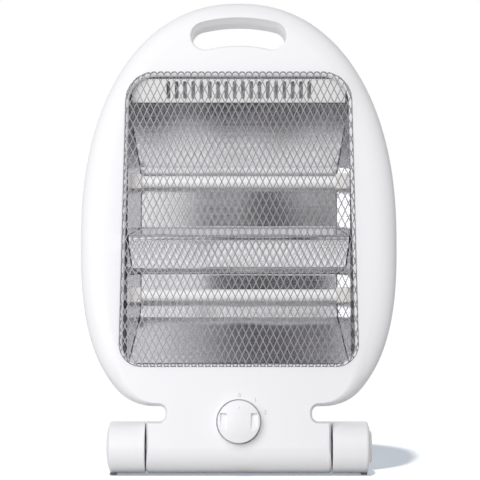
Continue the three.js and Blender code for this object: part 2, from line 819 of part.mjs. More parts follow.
function heatingTubes() {
  const quartz = { color: 0xf2f0f0, roughness: 0.2, metalness: 0 };
  const wireLook = { color: 0x6f6a66, roughness: 0.5, metalness: 1 };
  const ceramic = { color: 0xe9e6e0, roughness: 0.6, metalness: 0 };
  const leadEnd = capOuter + coil.leadReach;
  const coilEnd = tubeHalfLength - coil.inset;
  return [['upper', tube.upperHeight], ['lower', tube.lowerHeight]].flatMap(([level, height]) => {
    const lying = placed(0, tube.depth, height, alongX);
    const glass = ringBody(
      tube.radius - tube.wall,
      tube.radius,
      -tubeHalfLength,
      tubeHalfLength,
      20,
      lying,
    );
    const element = turned([
      [0, -leadEnd],
      [coil.leadRadius, -leadEnd],
      [coil.leadRadius, -coilEnd],
      [coil.radius, -coilEnd],
      [coil.radius, coilEnd],
      [coil.leadRadius, coilEnd],
      [coil.leadRadius, leadEnd],
      [0, leadEnd],
    ], 8, lying);
    const capOutline = rectangle(cap.halfSide, cap.halfSide, tube.depth, height, cap.corner, 2);
    const pocketEnd = tubeHalfLength + fitGap;
    const capBodies = [['left', alongMinusX, -1], ['right', alongX, 1]].map(([place, turn, side]) => {
      const seat = placed(0, tube.depth, height, turn);
      const block = slab(capOutline, side * capInner, side * capOuter, acrossHead);
      const pocket = rod(tube.radius + fitGap, capInner - overrun, pocketEnd, 20, seat);
      const leadHole = rod(coil.leadRadius + fitGap, capInner, capOuter + overrun, 8, seat);
      return named(`tube_cap_${level}_${place}`, cut(block, pocket, leadHole), ceramic);
    });
    return [
      named(`quartz_tube_${level}`, glass, quartz),
      named(`heating_coil_${level}`, element, wireLook),
      ...capBodies,
    ];
  });
}

// Control dial and its switch
const switchFront = dialFloor - wall - fitGap;
const rotary = { halfSide: 12, depth: 14, tabWidth: 6, tabReach: 5, tabPitch: 7, tabs: 3 };

function dialPieces() {
  const faceRadius = dial.radius - dial.edge;
  const dome = dial.domeShares.map((share) => [
    faceRadius * share,
    -dialFront - dial.dome * (1 - share * share),
  ]);
  const disc = turned([
    ...dome,
    [dial.radius, dial.edge - dialFront],
    [dial.radius, -dialBack],
    [0, -dialBack],
  ], 36, placed(0, 0, dial.height));
  const pockets = [-dial.pocketOffset, dial.pocketOffset].map((x) => slab(
    rectangle(dial.pocketHalfWidth, dial.pocketHalfHeight, x, dial.height, dial.pocketHalfWidth / 2, 2),
    -dialFront - dial.dome - overrun,
    dial.pocketDepth - dialFront,
  ));
  const bore = slab(
    roundPatch(0, dial.height, shaft.radius + fitGap, 12),
    -dialBack - shaft.inKnob - fitGap,
    overrun - dialBack,
  );
  const axle = slab(
    roundPatch(0, dial.height, shaft.radius, 12),
    -dialBack - shaft.inKnob,
    shaft.inSwitch - switchFront,
  );
  const axleLook = { color: 0xb9b9bb, roughness: 0.4, metalness: 1 };
  return [named('knob', cut(disc, ...pockets, bore), glossWhite), named('switch_shaft', axle, axleLook)];
}

function rotarySwitch() {
  const back = rotary.depth - switchFront;
  const body = slab(
    rectangle(rotary.halfSide, rotary.halfSide, 0, dial.height, rotary.halfSide / 4, 1),
    -switchFront,
    back,
  );
  const tabs = Array.from({ length: rotary.tabs }, (_, i) => {
    const z = dial.height + (i - (rotary.tabs - 1) / 2) * rotary.tabPitch;
    return box(rotary.tabWidth, 2 * rotary.tabReach, sheet, 0, back, z);
  });
  const bore = slab(
    roundPatch(0, dial.height, shaft.radius + fitGap, 12),
    -switchFront - overrun,
    shaft.inSwitch + fitGap - switchFront,
  );
  return named('rotary_switch', cut(join(body, ...tabs), bore), { color: 0x2b2b2e, roughness: 0.5 });
}

// Tip-over switch: a housing in the barrel with a weight that hangs from a cross pin
const pendulum = { weightRadius: 4, weightHalfLength: 4.5, drop: 13.5, armHalfWidth: 1.2 };

function tipSwitchHousing() {
  const shell = slab(
    rectangle(
      tipSwitch.halfWidth,
      (tipSwitch.top - tipSwitch.bottom) / 2,
      tipSwitchX,
      (tipSwitch.top + tipSwitch.bottom) / 2,
    ),
    tipSwitch.front,
    tipSwitch.back,
  );
  const inside = slab(
    rectangle(
      tipSwitch.halfWidth - tipSwitch.wall,
      (tipSwitch.top - tipSwitch.bottom) / 2 - tipSwitch.wall,
      tipSwitchX,
      (tipSwitch.top + tipSwitch.bottom) / 2,
    ),
    tipSwitch.front - overrun,
    tipSwitch.back - tipSwitch.wall,
  );
  const pivotHoles = rod(
    tipSwitch.pivotRadius + fitGap,
    -2 * tipSwitch.halfWidth,
    2 * tipSwitch.halfWidth,
    12,
    placed(tipSwitchX, tipSwitch.pivotDepth, tipSwitch.pivotHeight, alongX),
  );
  return named('tip_switch', cut(shell, inside, pivotHoles), { color: 0x2b2b2e, roughness: 0.5 });
}

// The weight is modelled about its pivot and turned back against the lean, so that it hangs plumb.
function tipPendulum() {
  const pinHalf = tipSwitch.halfWidth - fitGap;
  const pin = rod(tipSwitch.pivotRadius, -pinHalf, pinHalf, 12, alongX);
  const arm = box(
    2 * pendulum.weightHalfLength,
    2 * pendulum.armHalfWidth,
    pendulum.drop,
    0,
    0,
    -pendulum.drop / 2,
  );
  const weight = rod(
    pendulum.weightRadius,
    -pendulum.weightHalfLength,
    pendulum.weightHalfLength,
    16,
    placed(0, 0, -pendulum.drop, alongX),
  );
  const hanging = named('tip_pendulum', join(pin, arm, weight), {
    color: 0x8d8d90,
    roughness: 0.4,
    metalness: 1,
  });
  hanging.rotation.x = leanAngle;
  hanging.position.set(tipSwitchX, tipSwitch.pivotDepth, tipSwitch.pivotHeight);
  return hanging;
}

function thermalCutout() {
  const disc = slab(roundPatch(0, cutoutHeight, cutout.radius, 20), cutout.front, cutout.back);
  const middle = (cutout.front + cutout.back) / 2;
  const tabs = box(
    2 * cutout.tabHalfWidth,
    sheet,
    2 * cutout.tabHalfHeight,
    0,
    middle,
    cutoutHeight,
  );
  return named('thermal_cutout', join(disc, tabs), { color: 0x9c8f7c, roughness: 0.5, metalness: 0.4 });
}

function terminalBlock() {
  const body = slab(
    rectangle(terminals.halfWidth, terminals.halfHeight, terminals.x, terminals.height),
    terminals.front,
    terminals.back,
  );
  const pitch = (2 * terminals.halfWidth) / terminals.poles;
  const holes = Array.from({ length: terminals.poles }, (_, i) => slab(
    roundPatch(terminals.x + (i - (terminals.poles - 1) / 2) * pitch, terminals.height, pitch / 5, 8),
    terminals.front - overrun,
    terminals.front + terminals.halfHeight,
  ));
  return named('terminal_block', cut(body, ...holes), { color: 0xd8d6cf, roughness: 0.5 });
}

function cordGland() {
  const inner = innerFace - fitGap - gland.flangeThickness;
  const outer = headDepth + fitGap + gland.flangeThickness;
  return named('cord_gland', turned([
    [gland.bore, inner],
    [gland.flangeRadius, inner],
    [gland.flangeRadius, innerFace - fitGap],
    [gland.neckRadius, innerFace - fitGap],
    [gland.neckRadius, headDepth + fitGap],
    [gland.flangeRadius, headDepth + fitGap],
    [gland.flangeRadius, outer],
    [gland.bore, outer],
    [gland.bore, inner],
  ], 16, placed(gland.x, 0, gland.height)), { color: 0x3a3a3d, roughness: 0.7 });
}

function casingScrews() {
  return screwPlaces.map(({ name, x, z }) => named(name, turned([
    [0, -screw.reach],
    [screw.shankRadius, -screw.reach],
    [screw.shankRadius, screw.headSeat + fitGap],
    [screw.headRadius, screw.headSeat + fitGap],
    [screw.headRadius, screw.headSeat + fitGap + screw.headThickness],
    [0, screw.headSeat + fitGap + screw.headThickness],
  ], 10, placed(x, 0, z)), { color: 0xa9abae, roughness: 0.35, metalness: 1 }));
}

// Insulated leads, each laid from terminal to terminal through the points of its route
const lead = { radius: 1.3, sides: 6, stepsPerPoint: 2 };
const leadRoutes = {
  lead_upper: [
    [99.5, 4, 223.4],
    [102, 4, 222.5],
    [104, 2, 216],
    [104, -3, 190],
    [104, -4, 127],
    [101, -3, 90],
    [97, -2, 74],
    [88, -2, 61],
    [70, -2, 60.5],
    [56, -4, 52],
    [50, -3, 41],
    [32, 6, 33],
    [12, 9, 30],
    [4, 9, 29],
    [0, 5.5, 27.85],
    [0, 1.7, 27.85],
  ],
  lead_lower: [
    [99.5, 4, 127.1],
    [102, 4.5, 126.2],
    [103.5, 7, 120],
    [103, 8, 100],
    [97, 7, 74],
    [85, 6, 61.5],
    [68, 6, 60],
    [55, 7, 52],
    [49, 9, 36],
    [28, 13, 24],
    [10, 12, 21],
    [0, 5.5, 20.85],
    [0, 1.7, 20.85],
  ],
  lead_bridge: [
    [-99.5, 4, 223.4],
    [-102, 4, 222.6],
    [-104, 4, 216],
    [-104, 4, 175],
    [-104, 4, 134],
    [-102, 4, 127.9],
    [-99.5, 4, 127.1],
  ],
  lead_return: [
    [-100.2, 4, 123.6],
    [-102, 4, 118],
    [-102.5, 3, 100],
    [-97, 2, 74],
    [-86, 1, 61],
    [-68, 0, 60],
    [-30, -1, 60],
    [4, -6, 59.5],
    [14, -10, 55.5],
    [16.67, -8.5, 50.6],
    [16.67, 1.5, 50],
  ],
};

function leads() {
  return Object.entries(leadRoutes).map(([name, points]) => named(
    name,
    wire(points, lead.radius, lead.sides, lead.stepsPerPoint * points.length),
    { color: 0xe8e4d8, roughness: 0.6 },
  ));
}

// Hinge bushes in the barrel's end walls. The inner end of each has a coned seat.
function hingeBush(name, turn) {
  return named(name, turned([
    [bush.bore + bush.seatSpread, bushInner],
    [bush.innerRadius, bushInner],
    [bush.innerRadius, barrel.halfLength - wall - fitGap],
    [bush.radius, barrel.halfLength - wall - fitGap],
    [bush.radius, bushEnd],
    [bush.bore, bushEnd],
    [bush.bore, bushInner + bush.seatDepth],
    [bush.bore + bush.seatSpread, bushInner],
  ], 24, turn), { color: 0xdedcd6, roughness: 0.5 });
}

// Foot: a U-shaped frame with a hub at each front end, moulded in one piece
const rimShares = [[0, 0], [0.3, 0.72], [1, 1]];
const crownShares = [[1, 0], [0.77, 0.62], [0.43, 0.9], [0, 1]];
const crownShareAtButton = crownShares[1][1];

function footFrame() {
  const top = barrel.radius - foot.thickness;
  const outline = roundedPolygon([
    { x: -foot.legOuter, z: 0 },
    { x: -foot.legInner, z: 0 },
    { x: -foot.legInner, z: foot.reach - foot.barWidth, radius: foot.innerCorner },
    { x: foot.legInner, z: foot.reach - foot.barWidth, radius: foot.innerCorner },
    { x: foot.legInner, z: 0 },
    { x: foot.legOuter, z: 0 },
    { x: foot.legOuter, z: foot.reach, radius: foot.outerCorner },
    { x: -foot.legOuter, z: foot.reach, radius: foot.outerCorner },
  ], 6);
  const legs = stack([
    { outline, y: barrel.radius },
    { outline, y: top + foot.chamfer },
    { outline: inset(outline, foot.chamfer), y: top },
  ], laidFlat);
  const hubs = [alongX, alongMinusX].map((turn) => turned([
    [0, hubStart],
    [barrel.radius - hub.edge, hubStart],
    [barrel.radius, hubStart + hub.edge],
    ...rimShares.map(([drawnIn, out]) => [
      barrel.radius - hub.rimRound * drawnIn,
      hubEnd + hub.rimLength * out,
    ]),
    [0, hubEnd + hub.rimLength],
  ], barrel.sides, turn));
  const sleeves = [alongX, alongMinusX].map((turn) =>
    rod(sleeveRadius, sleeveInner, sleeveOuter, 24, turn));
  const cavities = [alongX, alongMinusX].map((turn) => turned([
    [sleeveRadius, hubStart + hub.disc],
    [hub.cavityRadius, hubStart + hub.disc],
    [hub.cavityRadius, capSeat - fitGap],
    [hub.capRadius + fitGap, capSeat - fitGap],
    [hub.capRadius + fitGap, hubEnd + hub.rimLength + overrun],
    [0, hubEnd + hub.rimLength + overrun],
    [0, sleeveOuter],
    [sleeveRadius, sleeveOuter],
    [sleeveRadius, hubStart + hub.disc],
  ], 28, turn));
  const bore = rod(
    hub.sleeveBore,
    -hubEnd,
    hubEnd,
    16,
    alongX,
  );
  const pocketTop = pad.height + fitGap - barrel.radius - pad.rise;
  const pocketReach = barrel.radius + overrun + pocketTop;
  const pocketMiddle = pocketTop - pocketReach / 2;
  const frontPockets = [-pad.frontOffset, pad.frontOffset].map((x) => box(
    2 * (pad.frontHalfWidth + fitGap),
    2 * (pad.frontHalfDepth + fitGap),
    pocketReach,
    x,
    0,
    pocketMiddle,
  ));
  const rearPockets = [-pad.rearOffset, pad.rearOffset].map((x) => slab(
    roundPatch(x, foot.reach - foot.barWidth / 2, pad.rearRadius + fitGap, 16),
    -pocketTop,
    barrel.radius + overrun,
    laidFlat,
  ));
  return named('stand_frame', cut(
    join(legs, ...hubs, ...sleeves),
    ...cavities,
    bore,
    ...frontPockets,
    ...rearPockets,
  ), glossWhite);
}

function hubCaps() {
  const rim = hubEnd + hub.rimLength;
  const rise = crownShares.map(([radiusShare, heightShare]) => [
    hub.capRadius * radiusShare,
    rim + capCrown * heightShare,
  ]);
  const whole = turned([[0, capSeat], [hub.capRadius, capSeat], ...rise], 32, alongMinusX);
  const pierced = turned([[0, capSeat], [hub.capRadius, capSeat], ...rise], 32, alongX);
  const hole = rod(button.radius + fitGap, capSeat - overrun, rim + capCrown + overrun, 32, alongX);
  return [
    named('hub_cap_left', whole, glossWhite),
    named('hub_cap_right', cut(pierced, hole), glossWhite),
  ];
}

// Fold lock: the button's pin pulls a cone into the right bush, and pressing it frees the cone
const lock = {
  length: 6,
  clipThickness: 1.2,
  clipRadius: 7,
  pinHeadLength: 5,
  pinHeadRadius: 12,
  pinBeyondClip: 2,
};
const coneShift = 1.5 * fitGap;

function lockPieces() {
  const face = hubEnd + hub.rimLength + capCrown * crownShareAtButton + button.proud;
  const headBack = face - button.headLength;
  const coneStart = bushInner - coneShift - lock.length;
  const pressed = turned([
    [0, coneStart],
    [hub.sleeveBore - fitGap, coneStart],
    [hub.sleeveBore - fitGap, headBack],
    [button.radius, headBack],
    [button.radius, face - button.edge],
    [button.radius - button.edge, face],
    [0, face + button.face],
  ], 32, alongX);
  const cone = turned([
    [hub.sleeveBore, coneStart],
    [bush.bore + bush.seatSpread, coneStart],
    [bush.bore + bush.seatSpread, bushInner - coneShift],
    [bush.bore, sleeveInner - coneShift],
    [hub.sleeveBore, sleeveInner - coneShift],
    [hub.sleeveBore, coneStart],
  ], 24, alongX);
  const pinEnd = sleeveOuter + fitGap + lock.clipThickness + lock.pinBeyondClip;
  const headEnd = bushInner - fitGap;
  const pin = turned([
    [0, headEnd - lock.pinHeadLength],
    [lock.pinHeadRadius, headEnd - lock.pinHeadLength],
    [lock.pinHeadRadius, headEnd],
    [hub.sleeveBore - fitGap, headEnd],
    [hub.sleeveBore - fitGap, pinEnd],
    [0, pinEnd],
  ], 24, alongMinusX);
  const clip = ringBody(
    hub.sleeveBore,
    lock.clipRadius,
    sleeveOuter + fitGap,
    sleeveOuter + fitGap + lock.clipThickness,
    16,
    alongMinusX,
  );
  const steel = { color: 0xb5b7ba, roughness: 0.35, metalness: 1 };
  return [
    named('fold_button', pressed, glossWhite),
    named('lock_cone', cone, { color: 0xdedcd6, roughness: 0.5 }),
    named('pivot_pin', pin, steel),
    named('pin_clip', clip, steel),
    springPiece(sleeveOuter + fitGap, headBack - fitGap, steel),
  ];
}

// A round-wire compression spring about the hinge axis, from one seat to the other
const spring = { wireRadius: 0.6, radius: 6, curls: 5, stepsPerCurl: 8, sides: 5 };

function springPiece(from, to, look) {
  const start = from + spring.wireRadius;
  const end = to - spring.wireRadius;
  const steps = spring.curls * spring.stepsPerCurl;
  const path = Array.from({ length: steps + 1 }, (_, step) => {
    const angle = (2 * Math.PI * step) / spring.stepsPerCurl;
    return [
      THREE.MathUtils.lerp(start, end, step / steps),
      spring.radius * Math.cos(angle),
      spring.radius * Math.sin(angle),
    ];
  });
  return named('button_spring', wire(path, spring.wireRadius, spring.sides, steps), look);
}

function pads() {
  const rubber = { color: 0x6d6d70, roughness: 0.85 };
  const bottom = -barrel.radius - pad.rise;
  const middle = bottom + pad.height / 2;
  return [['left', -1], ['right', 1]].flatMap(([place, side]) => [
    named(`pad_front_${place}`, box(
      2 * pad.frontHalfWidth,
      2 * pad.frontHalfDepth,
      pad.height,
      side * pad.frontOffset,
      0,
      middle,
    ), rubber),
    named(`pad_rear_${place}`, slab(
      roundPatch(side * pad.rearOffset, foot.reach - foot.barWidth / 2, pad.rearRadius, 16),
      -bottom - pad.height,
      -bottom,
      laidFlat,
    ), rubber),
  ]);
}

// The heater: head and foot share the barrel axis, and the whole is centred on its origin.
const heater = new THREE.Group();
const headGroup = new THREE.Group();
const footGroup = new THREE.Group();
headGroup.rotation.x = -leanAngle;
heater.add(headGroup, footGroup);
headGroup.add(
  frontCasing(),
  rearCasing(),
  grillePiece(),
  grilleRib(),
  reflectorSheet(),
  sidePlatePiece('side_plate_left', -1),
  sidePlatePiece('side_plate_right', 1),
  ventPanel(),
  ...heatingTubes(),
  ...dialPieces(),
  rotarySwitch(),
  tipSwitchHousing(),
  tipPendulum(),
  thermalCutout(),
  terminalBlock(),
  cordGland(),
  ...casingScrews(),
  ...leads(),
  hingeBush('hinge_bush_left', alongMinusX),
  hingeBush('hinge_bush_right', alongX),
);
footGroup.add(footFrame(), ...hubCaps(), ...lockPieces(), ...pads());

const reach = new THREE.Box3().setFromObject(heater, true);
heater.children.forEach((group) => {
  group.position.y = -(reach.min.y + reach.max.y) / 2;
  group.position.z = -reach.min.z;
});

export default heater;
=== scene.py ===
"""Infrared heater, dressed: moulded shells, expanded metal mesh, reflector, tubes, dial and foot.

Pieces are modelled in millimetres about the barrel's hinge axis, +X to the right as seen from
the front, +Y to the back, +Z up, and are placed in metres when they are finished.
"""
import json
import math
from types import SimpleNamespace as Sizes

import bmesh
import bpy
import numpy as np
from mathutils import Matrix, Vector

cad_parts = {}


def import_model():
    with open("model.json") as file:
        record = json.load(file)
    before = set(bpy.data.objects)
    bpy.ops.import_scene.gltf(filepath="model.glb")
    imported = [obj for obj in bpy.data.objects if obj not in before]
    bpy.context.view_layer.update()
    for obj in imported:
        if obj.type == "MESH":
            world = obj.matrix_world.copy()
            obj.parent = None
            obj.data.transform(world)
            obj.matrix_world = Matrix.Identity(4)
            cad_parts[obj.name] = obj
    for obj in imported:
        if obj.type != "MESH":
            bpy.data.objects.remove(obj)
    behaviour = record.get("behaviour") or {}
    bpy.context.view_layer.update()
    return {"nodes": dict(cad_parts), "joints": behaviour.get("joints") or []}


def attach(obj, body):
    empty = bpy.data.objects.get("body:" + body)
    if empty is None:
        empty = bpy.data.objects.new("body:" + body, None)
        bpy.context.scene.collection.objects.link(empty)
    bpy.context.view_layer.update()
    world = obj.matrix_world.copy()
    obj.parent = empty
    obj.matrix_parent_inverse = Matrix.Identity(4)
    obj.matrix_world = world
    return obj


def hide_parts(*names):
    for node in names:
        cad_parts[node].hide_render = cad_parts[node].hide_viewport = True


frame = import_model()
NODES = frame["nodes"]
HINGE = Vector(next(joint["pos_m"] for joint in frame["joints"] if joint["name"] == "stand_fold"))

MM = 0.001
LEAN = math.radians(6)
IN_HEAD = Matrix.Translation(HINGE) @ Matrix.Rotation(-LEAN, 4, "X") @ Matrix.Scale(MM, 4)
IN_STAND = Matrix.Translation(HINGE) @ Matrix.Scale(MM, 4)
PLACES = {"head": IN_HEAD, "dial": IN_HEAD, "stand": IN_STAND, "button": IN_STAND}

# Sizes in millimetres
FIT = 0.3
OVERRUN = 4
WALL = 2.5
SHEET = 0.8
BARREL = Sizes(radius=21.5, half_length=77, chamfer=1.8, bush_bore=11.3, sides=128)
HEAD = Sizes(
    depth=21.5, half_width=132.2, waist=176.4, rise=197.8, fall=162.2, rise_squareness=2.2,
    fall_squareness=2.8, chin=33.9, chin_flat=4, chin_curve=29.94, chin_bend_share=0.6,
    neck_half_width=61, notch_radius=5, crown_width=20, crown_depth=12, seam=0.45,
    neck_crown_share=0.13, crown_reach=72, shelf_half_width=76.6,
)
HEAD_TOP = HEAD.waist + HEAD.rise
WINDOW = Sizes(
    bottom=68.4, top=309.9, bottom_half_width=96.7, top_half_width=91.9, bottom_corner=16,
    top_corner=22, lip=4, skirt=5.5,
)
SLOT = Sizes(below_top=26.6, half_chord=28.2, sag=3.4, half_height=11.7, lip=2.2)
DIAL = Sizes(
    radius=17.45, gap=1.15, height=20.85, thickness=8.98, dome=2, edge=0.7, recess=3,
    pocket_half_width=2.8, pocket_half_height=7, pocket_depth=2.6,
    pocket_offset=12.6, pocket_corner=0.9, pocket_rise=-0.6, nub_offset=11.7, dimple_offset=-12.9,
)
DIAL_BACK = HEAD.depth - 1 + FIT
DIAL_FRONT = DIAL_BACK + DIAL.thickness
TUBE = Sizes(radius=5, wall=1.1, half_length=86.7, depth=4, upper=223.4, lower=127.1)
LEVELS = (("upper", TUBE.upper), ("lower", TUBE.lower))
SIDES = (("left", -1), ("right", 1))
CAP = Sizes(inner=82, outer=97, half_side=6.5, corner=1.2, lead_bore=1.5)
REFLECTOR = Sizes(
    front=-10, back=17, half_width=92.5, taper=10, top=289.3, flange_top=176, flange_bottom=172,
    bottom=69.5, bend=2.5,
)
HUB = Sizes(
    seam=0.6, edge=0.6, length=28, rim_length=1.9, rim_round=2.3, cap_radius=18.5, cap_seat=3.6,
    cavity_radius=17, disc=2.6, sleeve_bore=4.3, crown=2.6, crown_squareness=2.2,
    crown_fullness=1.6, collar=0.8,
)
HUB_START = BARREL.half_length + HUB.seam
HUB_END = HUB_START + HUB.length
HUB_RIM = HUB_END + HUB.rim_length
BUTTON = Sizes(
    radius=13.5, head=6.4, face=0.6, edge=0.8, proud=1.1, crown_share=0.62, pin_end=53.4,
)
BUTTON_FACE = HUB_RIM + HUB.crown * BUTTON.crown_share + BUTTON.proud
FOOT = Sizes(
    reach=112, leg_inner=88, leg_outer=106, bar=15, thickness=11.5, outer_corner=24,
    inner_corner=11, edge=3, lower_edge=0.8,
)
PAD = Sizes(
    rise=1, height=2.6, front_half_width=2.7, front_half_depth=6, front_offset=104,
    rear_radius=6, rear_offset=72,
)
MESH = Sizes(
    proud=8, round=3, gap=-2.6, back=21.2, pitch_x=5.68, pitch_z=12, strand=0.75, thickness=0.6,
    flange=1.2,
)
RIB = Sizes(radius=1.3, half_length=91.35, clearance=0.5)
CEILING = Sizes(
    thickness=1.6, bend=307.6, foot=289.8, back=-6, lip=1, half_width=90,
    slots=18, pitch=7, slot_width=3.2, start_share=0.03, end_share=0.83,
)
VENTS = Sizes(half_length=27, half_height=2, pitch=9, rows=5, offset=40, heights=(244, 96))
SCREW = Sizes(
    shank=1.6, head=3.3, head_height=2.4, seat=12, reach=14, cross=0.9, cross_depth=1.2,
    boss_wall=2,
)
SCREW_PLACES = {"bottom": (76, 49), "low_side": (112, 112), "high_side": (112, 236), "top": (63, 328)}
MARKS = (("mark_0", "0", 0.6, 42.4), ("mark_1", "I", 13.7, 38.7), ("mark_2", "2", 21.9, 28.5))
MARK_SIZE = 5.2
GLAND = Sizes(x=-28, height=46, bore=4.6, neck=6.7, flange=8.6, thickness=2.4, round=0.8)


# Working on one object at a time

def wake(piece):
    bpy.ops.object.select_all(action="DESELECT")
    piece.select_set(True)
    bpy.context.view_layer.objects.active = piece


def edit(piece, kind="VERT"):
    wake(piece)
    bpy.ops.object.mode_set(mode="EDIT")
    bpy.ops.mesh.select_mode(type=kind)


def leave():
    bpy.ops.object.mode_set(mode="OBJECT")


def pick(piece, kind, test):
    """Selects, in edit mode, the vertices, edges or faces that pass a test."""
    bpy.ops.mesh.select_mode(type=kind)
    bpy.ops.mesh.select_all(action="DESELECT")
    mesh = bmesh.from_edit_mesh(piece.data)
    items = {"VERT": mesh.verts, "EDGE": mesh.edges, "FACE": mesh.faces}[kind]
    for item in items:
        if test(item):
            item.select_set(True)
    mesh.select_flush_mode()
    bmesh.update_edit_mesh(piece.data)


def apply(piece, kind, **settings):
    """Adds a modifier with its settings and applies it."""
    wake(piece)
    bpy.ops.object.modifier_add(type=kind)
    modifier = piece.modifiers[-1]
    for name, value in settings.items():
        setattr(modifier, name, value)
    bpy.ops.object.modifier_apply(modifier=modifier.name)


def boolean(piece, operation, *others):
    for other in others:
        apply(piece, "BOOLEAN", operation=operation, solver="EXACT", object=other)
        bpy.data.objects.remove(other)
    return piece


def carve(piece, *cutters):
    return boolean(piece, "DIFFERENCE", *cutters)


def weld(piece, *others):
    return boolean(piece, "UNION", *others)


def outwards(piece):
    edit(piece)
    bpy.ops.mesh.select_all(action="SELECT")
    bpy.ops.mesh.remove_doubles(threshold=0.001)
    bpy.ops.mesh.normals_make_consistent(inside=False)
    leave()


def soften(piece, angle=32):
    """Smooth shading with crisp edges, and normals that keep the flat faces flat."""
    wake(piece)
    bpy.ops.object.shade_smooth_by_angle(angle=math.radians(angle))
    apply(piece, "WEIGHTED_NORMAL", keep_sharp=True, weight=80)


def copy_of(piece, name):
    wake(piece)
    bpy.ops.object.duplicate(linked=False)
    made = bpy.context.object
    made.name = name
    made.data.name = name
    return made


def moved(piece, matrix):
    """Moves or turns a piece and applies that to its mesh."""
    piece.matrix_world = matrix @ piece.matrix_world
    wake(piece)
    bpy.ops.object.transform_apply(location=True, rotation=True, scale=True)
    return piece


# Shapes

def skinned(name, rings, closed=False):
    """A body over rings of points: a circle is laid on the first ring and extruded to each next."""
    bpy.ops.mesh.primitive_circle_add(vertices=len(rings[0]), fill_type="NOTHING")
    piece = bpy.context.object
    piece.name = name
    piece.data.name = name
    edit(piece, "EDGE")
    bpy.ops.mesh.select_all(action="SELECT")
    mesh = bmesh.from_edit_mesh(piece.data)
    mesh.verts.ensure_lookup_table()
    place = mesh.verts.layers.int.new("place")
    ring_of = mesh.verts.layers.int.new("ring")
    for index, vertex in enumerate(mesh.verts):
        vertex[place] = index
        vertex.co = rings[0][index]
    for number, ring in enumerate(rings[1:], 1):
        bpy.ops.mesh.extrude_edges_move()
        mesh = bmesh.from_edit_mesh(piece.data)
        place = mesh.verts.layers.int["place"]
        ring_of = mesh.verts.layers.int["ring"]
        for vertex in mesh.verts:
            if vertex.select:
                vertex.co = ring[vertex[place]]
                vertex[ring_of] = number
    bmesh.update_edit_mesh(piece.data)
    if not closed:
        for end in (0, len(rings) - 1):
            mesh = bmesh.from_edit_mesh(piece.data)
            ring_of = mesh.verts.layers.int["ring"]
            pick(piece, "VERT", lambda vertex: vertex[ring_of] == end)
            if (rings[end][0] - rings[end][1]).length < 1e-6:
                bpy.ops.mesh.merge(type="COLLAPSE")
            else:
                bpy.ops.mesh.edge_face_add()
    leave()
    outwards(piece)
    for layer in ("place", "ring"):
        piece.data.attributes.remove(piece.data.attributes[layer])
    return piece


ALONG = {
    "X": lambda across, up, along: Vector((along, across, up)),
    "Y": lambda across, up, along: Vector((across, along, up)),
    "Z": lambda across, up, along: Vector((across, up, along)),
}


def layered(name, layers, axis, centre=(0, 0, 0), closed=False):
    """A body over flat outlines of (across, up) pairs, each at its distance along an axis."""
    return skinned(name, [
        [ALONG[axis](across, up, along) + Vector(centre) for across, up in outline]
        for outline, along in layers
    ], closed)


def slab(name, outline, start, end):
    return layered(name, [(outline, start), (outline, end)], "Y")


def turned(name, profile, sides, axis="X", centre=(0, 0, 0), closed=False):
    """A body of revolution. The profile holds (radius, distance along the axis) pairs."""
    turns = [2 * math.pi * (step + 0.5) / sides for step in range(sides)]
    return layered(name, [
        ([(radius * math.cos(turn), radius * math.sin(turn)) for turn in turns], along)
        for radius, along in profile
    ], axis, centre, closed)


def rod(name, radius, start, end, sides=48, axis="X", centre=(0, 0, 0)):
    return turned(name, [(radius, start), (radius, end)], sides, axis, centre)


def arc(radius, start, end, steps):
    """Points on a quarter or other part of a circle about (0, 0), as (across, up)."""
    angles = [math.radians(start + (end - start) * step / steps) for step in range(steps + 1)]
    return [(radius * math.cos(angle), radius * math.sin(angle)) for angle in angles]


def normals(outline):
    """The outward direction at each point of a counter-clockwise outline."""
    found = []
    for index, (x, z) in enumerate(outline):
        before, after = outline[index - 1], outline[(index + 1) % len(outline)]
        arriving = Vector((x - before[0], z - before[1])).normalized()
        leaving = Vector((after[0] - x, after[1] - z)).normalized()
        way = Vector((arriving.y + leaving.y, -arriving.x - leaving.x))
        found.append(way * (2 / way.length_squared))
    return found


def grown(outline, distance):
    """Moves an outline outwards, or inwards by a negative distance."""
    return [(x + way.x * distance, z + way.y * distance)
            for (x, z), way in zip(outline, normals(outline))]


def rounded(corners, steps):
    """A polygon of (x, z, radius) corners with round corners."""
    outline = []
    for index, (x, z, radius) in enumerate(corners):
        point = Vector((x, z))
        back = (Vector(corners[index - 1][:2]) - point).normalized()
        ahead = (Vector(corners[(index + 1) % len(corners)][:2]) - point).normalized()
        half = back.angle(ahead) / 2
        centre = point + (back + ahead).normalized() * (radius / math.sin(half))
        first = point + back * (radius / math.tan(half)) - centre
        turn = math.copysign(math.pi - 2 * half, ahead.cross(back))
        for step in range(steps + 1):
            spoke = first.copy()
            spoke.rotate(Matrix.Rotation(turn * step / steps, 2))
            outline.append(tuple(centre + spoke))
    return outline


def rectangle(half_width, half_height, x, z, radius, steps=6):
    return rounded([
        (x - half_width, z - half_height, radius),
        (x + half_width, z - half_height, radius),
        (x + half_width, z + half_height, radius),
        (x - half_width, z + half_height, radius),
    ], steps)


def lerp(start, end, share):
    return start + (end - start) * share


def ease(share):
    share = min(max(share, 0), 1)
    return share * share * (3 - 2 * share)


# Outlines of the head, its window and its carrying slot

def super_point(height, squareness, angle):
    power = 2 / squareness
    return (HEAD.half_width * math.sin(angle) ** power, height * math.cos(angle) ** power)


